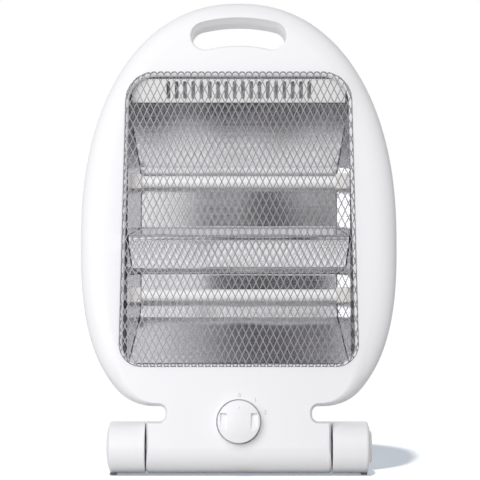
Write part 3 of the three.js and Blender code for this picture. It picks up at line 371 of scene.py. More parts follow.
def head_outline(front):
    """Two superellipse halves, a chin that flattens towards the neck, and the round-ended notch
    between chin and barrel. The neck runs on below the axis. In front it widens to a shelf as long
    as the barrel, so that face and barrel are one surface."""
    notch, radius = HEAD.neck_half_width + HEAD.notch_radius, HEAD.notch_radius
    shelf = HEAD.shelf_half_width if front else notch
    low = -2 * BARREL.radius
    half = [(shelf, low)]
    if front:
        half = [(shelf - BARREL.chamfer, low), (shelf, low + BARREL.chamfer)]
        half += [(shelf, BARREL.radius)]
    half += [(notch - across, BARREL.radius + radius - up) for up, across in arc(radius, 0, 90, 8)]
    half += [(notch - across, HEAD.chin - radius + up) for across, up in arc(radius, 0, 90, 8)]
    chin_end = notch + HEAD.chin_flat
    chin_start = chin_end + HEAD.chin_curve
    angle = math.asin((chin_start / HEAD.half_width) ** (HEAD.fall_squareness / 2))
    chin_drop = super_point(HEAD.fall, HEAD.fall_squareness, angle)[1]
    bend = lerp(chin_end, chin_start, HEAD.chin_bend_share)
    steps = 14
    for step in range(steps):
        share = step / steps
        across = lerp(lerp(chin_end, bend, share), lerp(bend, chin_start, share), share)
        half.append((across, lerp(HEAD.chin, HEAD.waist - chin_drop, share ** 2)))
    steps = 26
    for step in range(steps):
        turn = lerp(angle, math.pi / 2, step / steps)
        across, drop = super_point(HEAD.fall, HEAD.fall_squareness, turn)
        half.append((across, HEAD.waist - drop))
    steps = 60
    for step in range(steps, 0, -1):
        across, lift = super_point(HEAD.rise, HEAD.rise_squareness, math.pi / 2 * step / steps)
        half.append((across, HEAD.waist + lift))
    return half + [(0, HEAD_TOP)] + [(-x, z) for x, z in reversed(half)]


def shell_ring(outline, front, margin, depth):
    """The head's outline at a depth, drawn in by a wall's margin and by the crown, which is narrow
    round the neck. In front it rolls under the axis as the barrel does."""
    lift = max((depth + margin - HEAD.depth + HEAD.crown_depth) / HEAD.crown_depth, 0)
    crown = HEAD.crown_width * (1 - math.sqrt(max(1 - lift * lift, 0)))
    under = -math.sqrt(max((BARREL.radius - margin) ** 2 - depth ** 2, 0))
    start, end = HEAD.neck_half_width + HEAD.notch_radius, HEAD.neck_half_width + HEAD.crown_reach
    ring = []
    for (x, z), way in zip(outline, normals(outline)):
        away = z > BARREL.radius
        if BARREL.radius < z < HEAD.waist:
            away = ease((abs(x) - start) / (end - start))
        draw = margin + crown * lerp(HEAD.neck_crown_share, 1, away)
        height = z - way.y * draw
        if front:
            at_end = abs(x) > HEAD.shelf_half_width - BARREL.chamfer / 2
            height = max(height, under + (BARREL.chamfer if at_end else 0))
        ring.append((x - way.x * draw, height))
    return ring


def head_body(name, side, margin, parting, steps):
    """Half the head with its crowned edge, drawn in by a margin all round. Its end faces are cut
    into triangles, because the cutters leave holes in large faces."""
    front = side < 0
    outline = head_outline(front)
    reach = HEAD.depth - margin
    rings = [] if margin else [(HEAD.seam, parting)]
    start = parting if margin else parting + HEAD.seam
    for step in range(steps + 1):
        rings.append((margin, start + (reach - start) * math.sin(math.pi / 2 * step / steps)))
    body = layered(name, [
        (shell_ring(outline, front, inset, depth), side * depth) for inset, depth in rings
    ], "Y")
    edit(body, "FACE")
    pick(body, "FACE", lambda face: len(face.verts) > 4)
    bpy.ops.mesh.quads_convert_to_tris(quad_method="BEAUTY", ngon_method="BEAUTY")
    leave()
    if front:
        return body
    reach = 3 * BARREL.radius
    below = [(-reach * 2, -reach), (reach * 2, -reach), (reach * 2, 0), (-reach * 2, 0)]
    return carve(body, slab("below_axis", below, -reach, reach))


def window_outline():
    return rounded([
        (-WINDOW.bottom_half_width, WINDOW.bottom, WINDOW.bottom_corner),
        (WINDOW.bottom_half_width, WINDOW.bottom, WINDOW.bottom_corner),
        (WINDOW.top_half_width, WINDOW.top, WINDOW.top_corner),
        (-WINDOW.top_half_width, WINDOW.top, WINDOW.top_corner),
    ], 14)


def slot_outline(spread=0):
    """A band of constant height along an arc, with round ends."""
    reach = (SLOT.half_chord ** 2 + SLOT.sag ** 2) / (2 * SLOT.sag)
    half = math.asin(SLOT.half_chord / reach)
    middle = HEAD_TOP - SLOT.below_top - reach
    height = SLOT.half_height + spread

    def at(radius, angle, x=0, z=middle):
        return (x + radius * math.sin(angle), z + radius * math.cos(angle))

    outline = []
    steps, end_steps = 20, 16
    for step in range(steps + 1):
        outline.append(at(reach - height, half * (2 * step / steps - 1)))
    for step in range(1, end_steps):
        outline.append(at(height, half + math.pi - math.pi * step / end_steps, *at(reach, half)))
    for step in range(steps + 1):
        outline.append(at(reach + height, half * (1 - 2 * step / steps)))
    for step in range(1, end_steps):
        outline.append(at(height, -half - math.pi * step / end_steps, *at(reach, -half)))
    return outline


def flared(name, outline_at, lip, side):
    """A cutter for an opening whose edge rolls outwards by the lip at the outer face."""
    rings = [(lip, HEAD.depth + OVERRUN)]
    for angle in range(0, 91, 9):
        turn = math.radians(angle)
        rings.append((lip * (1 - math.sin(turn)), HEAD.depth - lip * (1 - math.cos(turn))))
    rings.append((0, -OVERRUN))
    return layered(name, [(outline_at(spread), side * depth) for spread, depth in rings], "Y")


# Finishes. Colours are sRGB hex values, and pattern sizes are real sizes in millimetres.

def linear(value):
    """The linear colour of an sRGB hex value."""
    channels = [int(value[start:start + 2], 16) / 255 for start in (0, 2, 4)]
    return [c / 12.92 if c <= 0.04045 else ((c + 0.055) / 1.055) ** 2.4 for c in channels] + [1]


def per_mm(size):
    """The texture scale at which one cell of a pattern is this many millimetres wide."""
    return 1 / (size * MM)


def add(tree, kind, inputs=None, **settings):
    """Adds a node. An input is given a value, or the output socket of another node."""
    made = tree.nodes.new(kind)
    for name, value in settings.items():
        setattr(made, name, value)
    for name, value in (inputs or {}).items():
        socket = made.inputs[name]
        if isinstance(value, bpy.types.NodeSocket):
            tree.links.new(value, socket)
        else:
            socket.default_value = value
    return made


def blank(name):
    """A material with only its output, and the object coordinates that its patterns read."""
    material = bpy.data.materials.new(name)
    material.use_nodes = True
    tree = material.node_tree
    tree.nodes.clear()
    output = add(tree, "ShaderNodeOutputMaterial")
    place = add(tree, "ShaderNodeTexCoord").outputs["Object"]
    return material, tree, output, place


def surfaced(material, tree, output, tones, roughness, tone_by, gloss_by, normal, **values):
    """Leads a material's tone, gloss and relief into its shader."""
    tone = add(tree, "ShaderNodeMix", {
        "Factor": tone_by, "A": linear(tones[0]), "B": linear(tones[1]),
    }, data_type="RGBA")
    gloss = add(tree, "ShaderNodeMapRange", {
        "Value": gloss_by, "To Min": roughness[0], "To Max": roughness[1],
    })
    shader = add(tree, "ShaderNodeBsdfPrincipled", {
        "Base Color": tone.outputs["Result"], "Roughness": gloss.outputs["Result"],
        "Normal": normal.outputs["Normal"], **values,
    })
    tree.links.new(shader.outputs["BSDF"], output.inputs["Surface"])
    return material


def moulded_abs(name, tones, roughness, peel, grain, grain_depth):
    """Injection-moulded ABS: a near-white with a faint cloudiness, gloss that varies a little
    where the melt flowed, the soft waviness of a moulded skin, and the grain of its tool."""
    material, tree, output, place = blank(name)
    cloud = add(tree, "ShaderNodeTexNoise", {"Vector": place, "Scale": per_mm(45), "Detail": 3.0})
    flow = add(tree, "ShaderNodeTexNoise", {"Vector": place, "Scale": per_mm(12), "Detail": 4.0})
    skin = add(tree, "ShaderNodeTexNoise", {"Vector": place, "Scale": per_mm(peel), "Detail": 1.0})
    waves = add(tree, "ShaderNodeBump", {
        "Height": skin.outputs["Fac"], "Strength": 0.12, "Distance": 0.06 * MM,
    })
    spark = add(tree, "ShaderNodeTexNoise", {"Vector": place, "Scale": per_mm(grain), "Detail": 2.0})
    relief = add(tree, "ShaderNodeBump", {
        "Height": spark.outputs["Fac"], "Strength": 0.5, "Distance": grain_depth * MM,
        "Normal": waves.outputs["Normal"],
    })
    return surfaced(material, tree, output, tones, roughness, cloud.outputs["Fac"],
                    flow.outputs["Fac"], relief, IOR=1.53)


def metal(name, tones, roughness, streak, bump, cloud_size=9):
    """A metal surface: streaks or specks along its working direction, in tone, gloss and relief.
    The streak is (x, y, z) sizes of one mark."""
    material, tree, output, place = blank(name)
    drawn = add(tree, "ShaderNodeMapping", {
        "Vector": place, "Scale": [per_mm(size) for size in streak],
    })
    marks = add(tree, "ShaderNodeTexNoise", {
        "Vector": drawn.outputs["Vector"], "Scale": 1.0, "Detail": 3.0,
    })
    cloud = add(tree, "ShaderNodeTexNoise", {
        "Vector": place, "Scale": per_mm(cloud_size), "Detail": 3.0,
    })
    both = add(tree, "ShaderNodeMath", {
        0: marks.outputs["Fac"], 1: cloud.outputs["Fac"],
    }, operation="MULTIPLY")
    spread = add(tree, "ShaderNodeMapRange", {"Value": both.outputs["Value"], "From Max": 0.5})
    relief = add(tree, "ShaderNodeBump", {
        "Height": marks.outputs["Fac"], "Strength": 0.3, "Distance": bump * MM,
    })
    return surfaced(material, tree, output, tones, roughness, spread.outputs["Result"],
                    marks.outputs["Fac"], relief, Metallic=1.0)


def dull(name, tones, roughness, grain, depth, ior=1.5, **values):
    """A plain non-metal: its colour mottled, its gloss uneven and its surface grained."""
    material, tree, output, place = blank(name)
    mottle = add(tree, "ShaderNodeTexNoise", {
        "Vector": place, "Scale": per_mm(grain * 8), "Detail": 4.0,
    })
    speck = add(tree, "ShaderNodeTexNoise", {"Vector": place, "Scale": per_mm(grain), "Detail": 3.0})
    relief = add(tree, "ShaderNodeBump", {
        "Height": speck.outputs["Fac"], "Strength": 0.5, "Distance": depth * MM,
    })
    return surfaced(material, tree, output, tones, roughness, mottle.outputs["Fac"],
                    mottle.outputs["Fac"], relief, IOR=ior, **values)


# Polished tool: a bright, even, slightly bluish white with soft highlights
gloss_abs = moulded_abs("gloss_moulded_abs", ("f1f1f4", "f4f4f6"), (0.26, 0.34), 3.5, 0.9, 0.004)
# Spark-eroded tool: the same plastic with a fine matt grain, drawn 0.6 mm coarse so that it shows
grained_abs = moulded_abs("spark_grained_abs", ("efeff2", "f3f3f5"), (0.42, 0.52), 3.5, 0.6, 0.03)
# Low-gloss moulding at the vents, which the heat has tinted very slightly
vent_abs = moulded_abs("heat_resistant_pbt", ("ededec", "f4f4f3"), (0.36, 0.46), 3.0, 0.8, 0.006)
# Nickel-plated steel, slit and stretched: grey, with blurred lights along every strand
nickel_mesh = metal("nickel_plated_expanded_steel", ("858388", "a9a7ab"), (0.3, 0.48),
                    (1.4, 1.4, 1.4), 0.02)
drawn_wire = metal("nickel_plated_drawn_wire", ("a19fa3", "c6c4c8"), (0.24, 0.36),
                   (14, 0.4, 0.4), 0.01)
# Bright-rolled aluminium: a soft mirror with fine lines along the rolling direction
rolled_aluminium = metal("bright_rolled_aluminium", ("e6e6e8", "f0f0f2"), (0.1, 0.18),
                         (60, 1.1, 1.1), 0.012, 24)
zinc_steel = metal("zinc_plated_steel", ("a4a6aa", "c2c4c6"), (0.28, 0.42), (1.5, 1.5, 1.5), 0.01)
coil_wire = metal("oxidised_resistance_wire", ("5d5853", "7d766f"), (0.45, 0.6), (0.8, 0.8, 0.8), 0.02)
cutout_metal = metal("stamped_tinned_steel", ("8e8474", "aea594"), (0.35, 0.5), (2, 2, 2), 0.01)
# Milky quartz: fused with fine bubbles, so it is white, glassy outside and glows softly
milky_quartz = dull("milky_fused_quartz", ("f8f7f7", "fcfcfc"), (0.12, 0.2), 1.2, 0.01, 1.46,
                    **{"Subsurface Weight": 0.5, "Subsurface Radius": (0.004, 0.004, 0.004)})
# Steatite ceramic: pressed and fired, matt with a faint cream speckle
steatite = dull("fired_steatite", ("dddbd7", "e9e8e5"), (0.5, 0.7), 0.7, 0.05, 1.55)
dark_plastic = dull("black_glass_filled_nylon", ("26262a", "333338"), (0.45, 0.6), 0.5, 0.03)
pale_plastic = dull("natural_polyamide", ("d8d5cc", "e4e1d9"), (0.4, 0.55), 0.6, 0.02)
gland_rubber = dull("soft_pvc", ("343438", "414146"), (0.6, 0.75), 0.5, 0.03)
pad_rubber = dull("moulded_grey_rubber", ("626265", "77777a"), (0.75, 0.9), 0.4, 0.05)
lead_sleeve = dull("glass_braid_sleeve", ("dcd7c9", "ece8dc"), (0.6, 0.8), 0.45, 0.08)
mark_paint = dull("pad_printed_grey", ("c3c3c9", "cfcfd4"), (0.4, 0.5), 0.5, 0.002)


def dressed(piece, material, slot, *replaced, body="head"):
    """Places a finished piece, gives it its finish and its body, and hides the nodes it replaces."""
    moved(piece, PLACES[body])
    piece.data.materials.clear()
    piece.data.materials.append(material)
    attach(piece, body)
    if replaced:
        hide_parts(*replaced)
    return piece


# Casings

def shell_half(name, side, parting):
    """One hollow shell half of the head and barrel, with the barrel's end walls."""
    half, radius, chamfer = BARREL.half_length, BARREL.radius, BARREL.chamfer
    shell = head_body(name, side, 0, parting, 20)
    inside = head_body("inside", side, WALL, parting - WALL, 12)
    bush_hole = rod("bush_hole", BARREL.bush_bore, -half - OVERRUN, half + OVERRUN, 48)
    if side < 0:
        return carve(shell, inside, bush_hole)
    barrel = turned("barrel", [
        (radius - chamfer, -half), (radius, chamfer - half),
        (radius, half - chamfer), (radius - chamfer, half),
    ], BARREL.sides)
    weld(shell, barrel)
    carve(shell, inside, rod("bore", radius - WALL, WALL - half, half - WALL, 64))
    reach = 3 * HEAD_TOP
    square = [(-reach, -reach), (reach, -reach), (reach, reach), (-reach, reach)]
    other_half = slab("other_half", square, side * parting, side * (parting - reach))
    return carve(shell, other_half, bush_hole)


def sleeve(side, parting):
    """The wall round the carrying slot."""
    return slab("sleeve", slot_outline(WALL), side * (HEAD.depth - SLOT.lip), side * parting)


def front_shell():
    shell = shell_half("front_shell", -1, 0)
    outline = window_outline()
    skirt = slab("skirt", grown(outline, WINDOW.lip + WALL), -(HEAD.depth - WALL / 2),
                 -(HEAD.depth - WINDOW.skirt))
    dial_plate = rod("dial_plate", DIAL.radius + DIAL.gap + WALL, -(HEAD.depth - WALL / 2),
                     -(HEAD.depth - DIAL.recess - WALL), 64, "Y", (0, 0, DIAL.height))
    weld(shell, sleeve(-1, 0), skirt, dial_plate)
    recess = rod("recess", DIAL.radius + DIAL.gap, -HEAD.depth - OVERRUN, -HEAD.depth + DIAL.recess,
                 96, "Y", (0, 0, DIAL.height))
    carve(
        shell,
        flared("window_cutter", lambda spread: grown(outline, spread), WINDOW.lip, -1),
        flared("slot_cutter", slot_outline, SLOT.lip, -1),
        recess,
    )
    soften(shell)
    dressed(shell, gloss_abs, "white_plastic", "front_casing")


def rear_shell():
    shell = shell_half("rear_shell", 1, FIT)
    weld(shell, sleeve(1, FIT))
    cutters = [flared("slot_cutter", slot_outline, SLOT.lip, 1)]
    for height in VENTS.heights:
        for offset in (-VENTS.offset, VENTS.offset):
            for row in range(VENTS.rows):
                z = height + (row - (VENTS.rows - 1) / 2) * VENTS.pitch
                outline = rectangle(VENTS.half_length, VENTS.half_height, offset, z,
                                    VENTS.half_height * 0.98, 8)
                cutters.append(slab("vent", outline, HEAD.depth - 2 * WALL, HEAD.depth + OVERRUN))
    for x, z in SCREW_PLACES.values():
        for way in (-1, 1):
            weld(shell, rod("boss", SCREW.head + SCREW.boss_wall, SCREW.seat - SCREW.boss_wall,
                            HEAD.depth - WALL / 2, 24, "Y", (way * x, 0, z)))
            cutters.append(rod("screw_hole", SCREW.head + FIT, SCREW.seat, HEAD.depth + OVERRUN, 32,
                               "Y", (way * x, 0, z)))
    cutters.append(rod("gland_hole", GLAND.neck + FIT, HEAD.depth - OVERRUN, HEAD.depth + OVERRUN, 48,
                       "Y", (GLAND.x, 0, GLAND.height)))
    carve(shell, *cutters)
    soften(shell)
    dressed(shell, grained_abs, "white_plastic", "rear_casing")


# Mesh in the window

def nearest_on(outline, points):
    """For each point: how far outside the outline it lies, and the outline's nearest point."""
    a = np.array(outline)
    b = np.roll(a, -1, axis=0)
    along = b - a
    lengths = np.einsum("ij,ij->i", along, along)
    best = np.full(len(points), np.inf)
    foot = np.zeros((len(points), 2))
    for start, way, length in zip(a, along, lengths):
        share = np.clip(((points - start) @ way) / length, 0, 1)
        close = start + share[:, None] * way
        gap = np.linalg.norm(points - close, axis=1)
        nearer = gap < best
        best[nearer] = gap[nearer]
        foot[nearer] = close[nearer]
    return best, foot


def inside(outline, points):
    """Whether each point lies inside the outline."""
    a = np.array(outline)
    b = np.roll(a, -1, axis=0)
    crossings = np.zeros(len(points), int)
    for (x1, z1), (x2, z2) in zip(a, b):
        if z1 == z2:
            continue
        spans = (z1 > points[:, 1]) != (z2 > points[:, 1])
        hit = points[:, 0] < (x2 - x1) * (points[:, 1] - z1) / (z2 - z1) + x1
        crossings += spans & hit
    return crossings % 2 == 1


def mesh_dish():
    """Expanded steel: a sheet of stretched diamonds, pressed into a dish whose edge is round. It is
    too fine to shade the reflector, so it casts no shadow."""
    border = grown(window_outline(), -MESH.gap - MESH.round)
    front = -HEAD.depth - MESH.proud
    bend = math.pi / 2 * MESH.round
    reach = bend + (-front - MESH.round - MESH.back)
    middle = (WINDOW.top + WINDOW.bottom) / 2
    cells = 2 * math.ceil((WINDOW.top - WINDOW.bottom + 2 * reach) / MESH.pitch_z) + 26
    bpy.ops.mesh.primitive_grid_add(x_subdivisions=cells, y_subdivisions=cells, size=cells)
    dish = bpy.context.object
    dish.name = "mesh_dish"
    moved(dish, Matrix.Rotation(math.pi / 2, 4, "X"))
    moved(dish, Matrix.Rotation(math.pi / 4, 4, "Y"))
    moved(dish, Matrix.Diagonal((MESH.pitch_x / math.sqrt(2), 1, MESH.pitch_z / math.sqrt(2), 1)))
    moved(dish, Matrix.Translation((0, 0, middle)))

    def beyond(points):
        gap, foot = nearest_on(border, points)
        gap[inside(border, points)] *= -1
        return gap, foot

    edit(dish, "FACE")
    mesh = bmesh.from_edit_mesh(dish.data)
    middles = np.array([face.calc_center_median()[:] for face in mesh.faces])[:, [0, 2]]
    gap, _ = beyond(middles)
    outside = set(np.flatnonzero(gap > reach))
    pick(dish, "FACE", lambda face: face.index in outside)
    bpy.ops.mesh.delete(type="FACE")
    bpy.ops.mesh.select_all(action="SELECT")
    bpy.ops.mesh.inset(thickness=MESH.strand / 2, use_individual=True, use_even_offset=True,
                       use_boundary=True)
    bpy.ops.mesh.delete(type="FACE")
    pick(dish, "EDGE", lambda edge: edge.calc_length() > MESH.pitch_x / 2)
    mesh = bmesh.from_edit_mesh(dish.data)
    chosen = [edge for edge in mesh.edges if edge.select]
    middles = np.array([((edge.verts[0].co + edge.verts[1].co) / 2)[:] for edge in chosen])
    gap, _ = beyond(middles[:, [0, 2]])
    bending = {edge.index for edge, off in zip(chosen, gap) if -MESH.pitch_z / 2 < off}
    pick(dish, "EDGE", lambda edge: edge.index in bending)
    bpy.ops.mesh.subdivide(number_cuts=3)
    leave()
    places = np.array([vertex.co[:] for vertex in dish.data.vertices])
    gap, foot = beyond(places[:, [0, 2]])
    for vertex, off, (x, z) in zip(dish.data.vertices, gap, foot):
        if off <= 0:
            vertex.co.y = front
            continue
        out = Vector((vertex.co.x - x, vertex.co.z - z)).normalized()
        turn = min(off, bend) / MESH.round
        side = MESH.round * math.sin(turn)
        vertex.co = (x + out.x * side,
                     front + MESH.round * (1 - math.cos(turn)) + max(off - bend, 0), z + out.y * side)
    outwards(dish)
    apply(dish, "SOLIDIFY", thickness=MESH.thickness, offset=-1.0, use_even_offset=False)
    soften(dish, 50)
    dish.visible_shadow = False
    dressed(dish, nickel_mesh, "mesh_steel", "grille")


def mesh_rib():
    """The support wire behind the mesh, drawn thin and not quite straight, with flattened ends."""
    front = -HEAD.depth - MESH.proud
    depth = front + MESH.thickness + FIT + RIB.radius + RIB.clearance
    height = (REFLECTOR.flange_top + REFLECTOR.flange_bottom) / 2
    rings = []
    steps = 60
    for step in range(steps + 1):
        share = 2 * step / steps - 1
        x = share * RIB.half_length
        sway = 0.35 * math.sin(7.3 * share) + 0.2 * math.sin(17 * share + 1)
        rings.append([
            Vector((x, depth + across, height + sway + up))
            for across, up in arc(RIB.radius * (0.8 if abs(share) < 1 else 0.55), 0, 345, 23)
        ])
    rib = skinned("mesh_rib", rings)
    soften(rib, 40)
    dressed(rib, drawn_wire, "mesh_steel", "grille_rib")


# Reflector, tubes and vent ceiling

def softened_line(line, radius, steps=8):
    """An open line of (depth, height) points whose inner corners are rounded."""
    points = [line[0]]
    for before, here, after in zip(line, line[1:], line[2:]):
        corner = Vector(here)
        back = Vector(before) - corner
        ahead = Vector(after) - corner
        half = back.angle(ahead) / 2
        cut = min(radius / math.tan(half), 0.45 * back.length, 0.45 * ahead.length)
        start, end = corner + back.normalized() * cut, corner + ahead.normalized() * cut
        for step in range(steps + 1):
            share = step / steps
            points.append(tuple((1 - share) ** 2 * start + 2 * share * (1 - share) * corner
                                + share ** 2 * end))
    return points + [line[-1]]


def sheet_outline(line, thickness):
    """The closed outline of a thin sheet bent along an open line."""
    def shifted(distance):
        moved_points = []
        for index, here in enumerate(line):
            before, after = line[max(index - 1, 0)], line[min(index + 1, len(line) - 1)]
            way = (Vector(after) - Vector(before)).normalized()
            moved_points.append((here[0] - way.y * distance, here[1] + way.x * distance))
        return moved_points
    return shifted(thickness / 2) + shifted(-thickness / 2)[::-1]


def across_head(name, outline, half_width_at, shares, sway=lambda share, depth, height: 0):
    """A sheet's (depth, height) outline drawn across the head, through shares of its half width."""
    return skinned(name, [
        [Vector((share * half_width_at(depth), depth + sway(share, depth, height), height))
         for depth, height in outline]
        for share in shares
    ])


def reflector_half_width(depth):
    share = (depth - REFLECTOR.front) / (REFLECTOR.back - REFLECTOR.front)
    return REFLECTOR.half_width - REFLECTOR.taper * share


# Shares of the reflector's depth, and of the way from the tube up (positive) or down (negative)
UPPER_SHARES = [(0, 1), (0.89, 0.215), (1, 0.044), (1, -0.8), (0.04, -1)]
LOWER_SHARES = [(0.04, 1), (0.34, 0.5), (1, 0.44), (1, -0.03), (0.94, -0.31), (0.14, -1)]


def trough(shares, tube, top, bottom):
    return [(lerp(REFLECTOR.front, REFLECTOR.back, depth),
             tube + abs(height) * ((top if height > 0 else bottom) - tube))
            for depth, height in shares]


def reflector_sheet():
    """Two troughs in one bright sheet. It bulges a little between its folds, as thin sheet does."""
    line = trough(UPPER_SHARES, TUBE.upper, REFLECTOR.top, REFLECTOR.flange_top)
    line += trough(LOWER_SHARES, TUBE.lower, REFLECTOR.flange_bottom, REFLECTOR.bottom)

    def sway(share, depth, height):
        fade = 1 - share * share
        slow, quick = math.sin(5 * share + height / 23), math.sin(9 * share - height / 13)
        return 0.25 * fade * (slow + 0.6 * quick)

    steps = 48
    shares = [2 * step / steps - 1 for step in range(steps + 1)]
    sheet = across_head("reflector_sheet", sheet_outline(softened_line(line, REFLECTOR.bend), SHEET),
                        reflector_half_width, shares, sway)
    soften(sheet, 40)
    dressed(sheet, rolled_aluminium, "bright_sheet", "reflector")


def side_plates():
    """The slanted sheets at the ends of the troughs, with a hole for each tube's cap."""
    offset, flange, margin = FIT + SHEET, 5, 1
    front, back = REFLECTOR.front, HEAD.depth - WALL - FIT - SHEET / 2
    for place, side in SIDES:
        near, far = (side * (reflector_half_width(depth) + offset) for depth in (front, back))
        line = softened_line([(near, front), (far, back), (far + side * flange, back)], 1.5)
        outline = sheet_outline(line, SHEET)
        plate = layered(f"end_sheet_{place}", [
            (outline, REFLECTOR.bottom - margin), (outline, REFLECTOR.top + margin),
        ], "Z")
        half, reach = CAP.half_side + FIT, side * 2 * REFLECTOR.half_width
        for _, height in LEVELS:
            outline = rectangle(half, half, TUBE.depth, height, 0.8, 4)
            carve(plate, layered("hole", [(outline, 0), (outline, reach)], "X"))
        soften(plate, 40)
        dressed(plate, rolled_aluminium, "bright_sheet", f"side_plate_{place}")


def quartz_tubes():
    """Fire-polished tubes: plain cylinders whose ends are rounded by the flame."""
    for level, height in LEVELS:
        middle = TUBE.radius - TUBE.wall / 2
        profile = [(middle + across, TUBE.half_length - TUBE.wall / 2 + up)
                   for across, up in arc(TUBE.wall / 2, 0, 180, 8)]
        profile += [(radius, -along) for radius, along in reversed(profile)]
        tube = turned(f"tube_{level}", profile + profile[:1], 64, "X", (0, TUBE.depth, height), True)
        soften(tube, 50)
        dressed(tube, milky_quartz, "quartz", f"quartz_tube_{level}")


def tube_caps():
    """Pressed ceramic blocks with a step, a pocket for the tube and a hole for the lead."""
    for level, height in LEVELS:
        for place, side in SIDES:
            layers = []
            for along, shrink in ((0, 0.7), (0.7, 0), (9, 0), (9.4, 0.9), (14.4, 0.9), (15, 1.5)):
                half = CAP.half_side - shrink
                outline = rectangle(half, half, TUBE.depth, height, CAP.corner, 5)
                layers.append((outline, side * (CAP.inner + along)))
            cap = layered(f"ceramic_cap_{level}_{place}", layers, "X")
            centre = (0, TUBE.depth, height)
            carve(
                cap,
                rod("pocket", TUBE.radius + FIT, side * (CAP.inner - OVERRUN),
                    side * (TUBE.half_length + FIT), 64, "X", centre),
                rod("lead_hole", CAP.lead_bore, side * CAP.inner, side * (CAP.outer + OVERRUN), 24,
                    "X", centre),
            )
            soften(cap, 30)
            dressed(cap, steatite, "ceramic", f"tube_cap_{level}_{place}")


def vent_ceiling():
    """The sloping plate over the upper tube, with a row of round-ended slots."""
    front = -HEAD.depth + WINDOW.skirt + FIT + MESH.flange + FIT + CEILING.thickness / 2
    bend, foot = (front, CEILING.bend), (CEILING.back, CEILING.foot)
    line = softened_line([(front, CEILING.bend + CEILING.lip), bend, foot], 0.5)
    plate = across_head("vent_ceiling", sheet_outline(line, CEILING.thickness),
                        lambda depth: CEILING.half_width, (-1, 1))
    slope = Vector(foot) - Vector(bend)
    normal = Vector((-slope.y, slope.x)).normalized()
    for index in range(CEILING.slots):
        x = (index - (CEILING.slots - 1) / 2) * CEILING.pitch
        start = Vector(bend) + slope * CEILING.start_share
        end = Vector(bend) + slope * CEILING.end_share
        length = (end - start).length
        half = CEILING.slot_width / 2
        outline = rectangle(half, length / 2, 0, 0, half * 0.98, 6)
        rings = []
        for lift in (-OVERRUN, OVERRUN):
            rings.append([
                Vector((x + across, *(start + slope.normalized() * (length / 2 + up) + normal * lift)))
                for across, up in outline
            ])
        carve(plate, skinned("slot", rings))
    soften(plate, 35)
    dressed(plate, vent_abs, "white_plastic", "vent_panel")


# Dial

def dial_knob():
    """A domed disc with two finger pockets that are deepest at their upper ends."""
    profile = [(DIAL.radius, -DIAL_BACK)]
    profile += [(DIAL.radius - DIAL.edge + across, -DIAL_FRONT + DIAL.edge - up)
                for across, up in arc(DIAL.edge, 0, 90, 5)]
    face = DIAL.radius - DIAL.edge
    steps = 16
    for step in range(steps - 1, -1, -1):
        share = step / steps
        profile.append((face * share, -DIAL_FRONT - DIAL.dome * (1 - share * share)))
    knob = turned("dial_knob", profile, 128, "Y", (0, 0, DIAL.height))
    for x in (-DIAL.pocket_offset, DIAL.pocket_offset):
        outline = rectangle(DIAL.pocket_half_width, DIAL.pocket_half_height, x, DIAL.height,
                            DIAL.pocket_corner)
        top = DIAL.height + DIAL.pocket_half_height
        floor = []
        for across, z in outline:
            share = max((top - z) / (2 * DIAL.pocket_half_height), 0) ** 0.8
            depth = lerp(DIAL.pocket_depth, DIAL.pocket_rise, share)
            floor.append(Vector((across, -DIAL_FRONT + depth, z)))
        mouth = [Vector((across, -DIAL_FRONT - DIAL.dome - OVERRUN, z)) for across, z in outline]
        carve(knob, skinned("pocket", [mouth, floor]))
    nub = turned("nub", [
        (0.9, -DIAL_FRONT), (0.9, -DIAL_FRONT - 1.35), (0.6, -DIAL_FRONT - 1.6),
    ], 20, "Y", (0, 0, DIAL.height + DIAL.nub_offset))
    weld(knob, nub)
    carve(knob, turned("dimple", [
        (1.1, -DIAL_FRONT - 3), (0.9, -DIAL_FRONT - 0.6), (0.4, -DIAL_FRONT - 0.3),
    ], 20, "Y", (0, 0, DIAL.height + DIAL.dimple_offset)))
    soften(knob, 35)
    dressed(knob, gloss_abs, "white_plastic", "knob", body="dial")


def dial_marks():
    """Faint printed switch positions round the dial: 0, I and 2."""
    for name, text, x, z in MARKS:
        bpy.ops.object.text_add(rotation=(math.pi / 2, 0, 0))
        mark = bpy.context.object
        mark.name = name
        mark.data.body = text
        mark.data.size = MARK_SIZE
        mark.data.align_x = "CENTER"
        mark.data.align_y = "CENTER"
        mark.data.extrude = 0.05
        wake(mark)
        bpy.ops.object.convert(target="MESH")
        moved(mark, Matrix.Translation((x, -HEAD.depth - 0.03, z)))
        dressed(mark, mark_paint, "pale_plastic")


# Foot

def foot_outline():
    inner, outer, reach, end = FOOT.leg_inner, FOOT.leg_outer, FOOT.reach, FOOT.edge + 1
    corners = [
        (-outer, 0, end), (-inner, 0, end), (-inner, reach - FOOT.bar, FOOT.inner_corner),
        (inner, reach - FOOT.bar, FOOT.inner_corner), (inner, 0, end), (outer, 0, end),
        (outer, reach, FOOT.outer_corner), (-outer, reach, FOOT.outer_corner),
    ]
    return rounded(corners, 14)


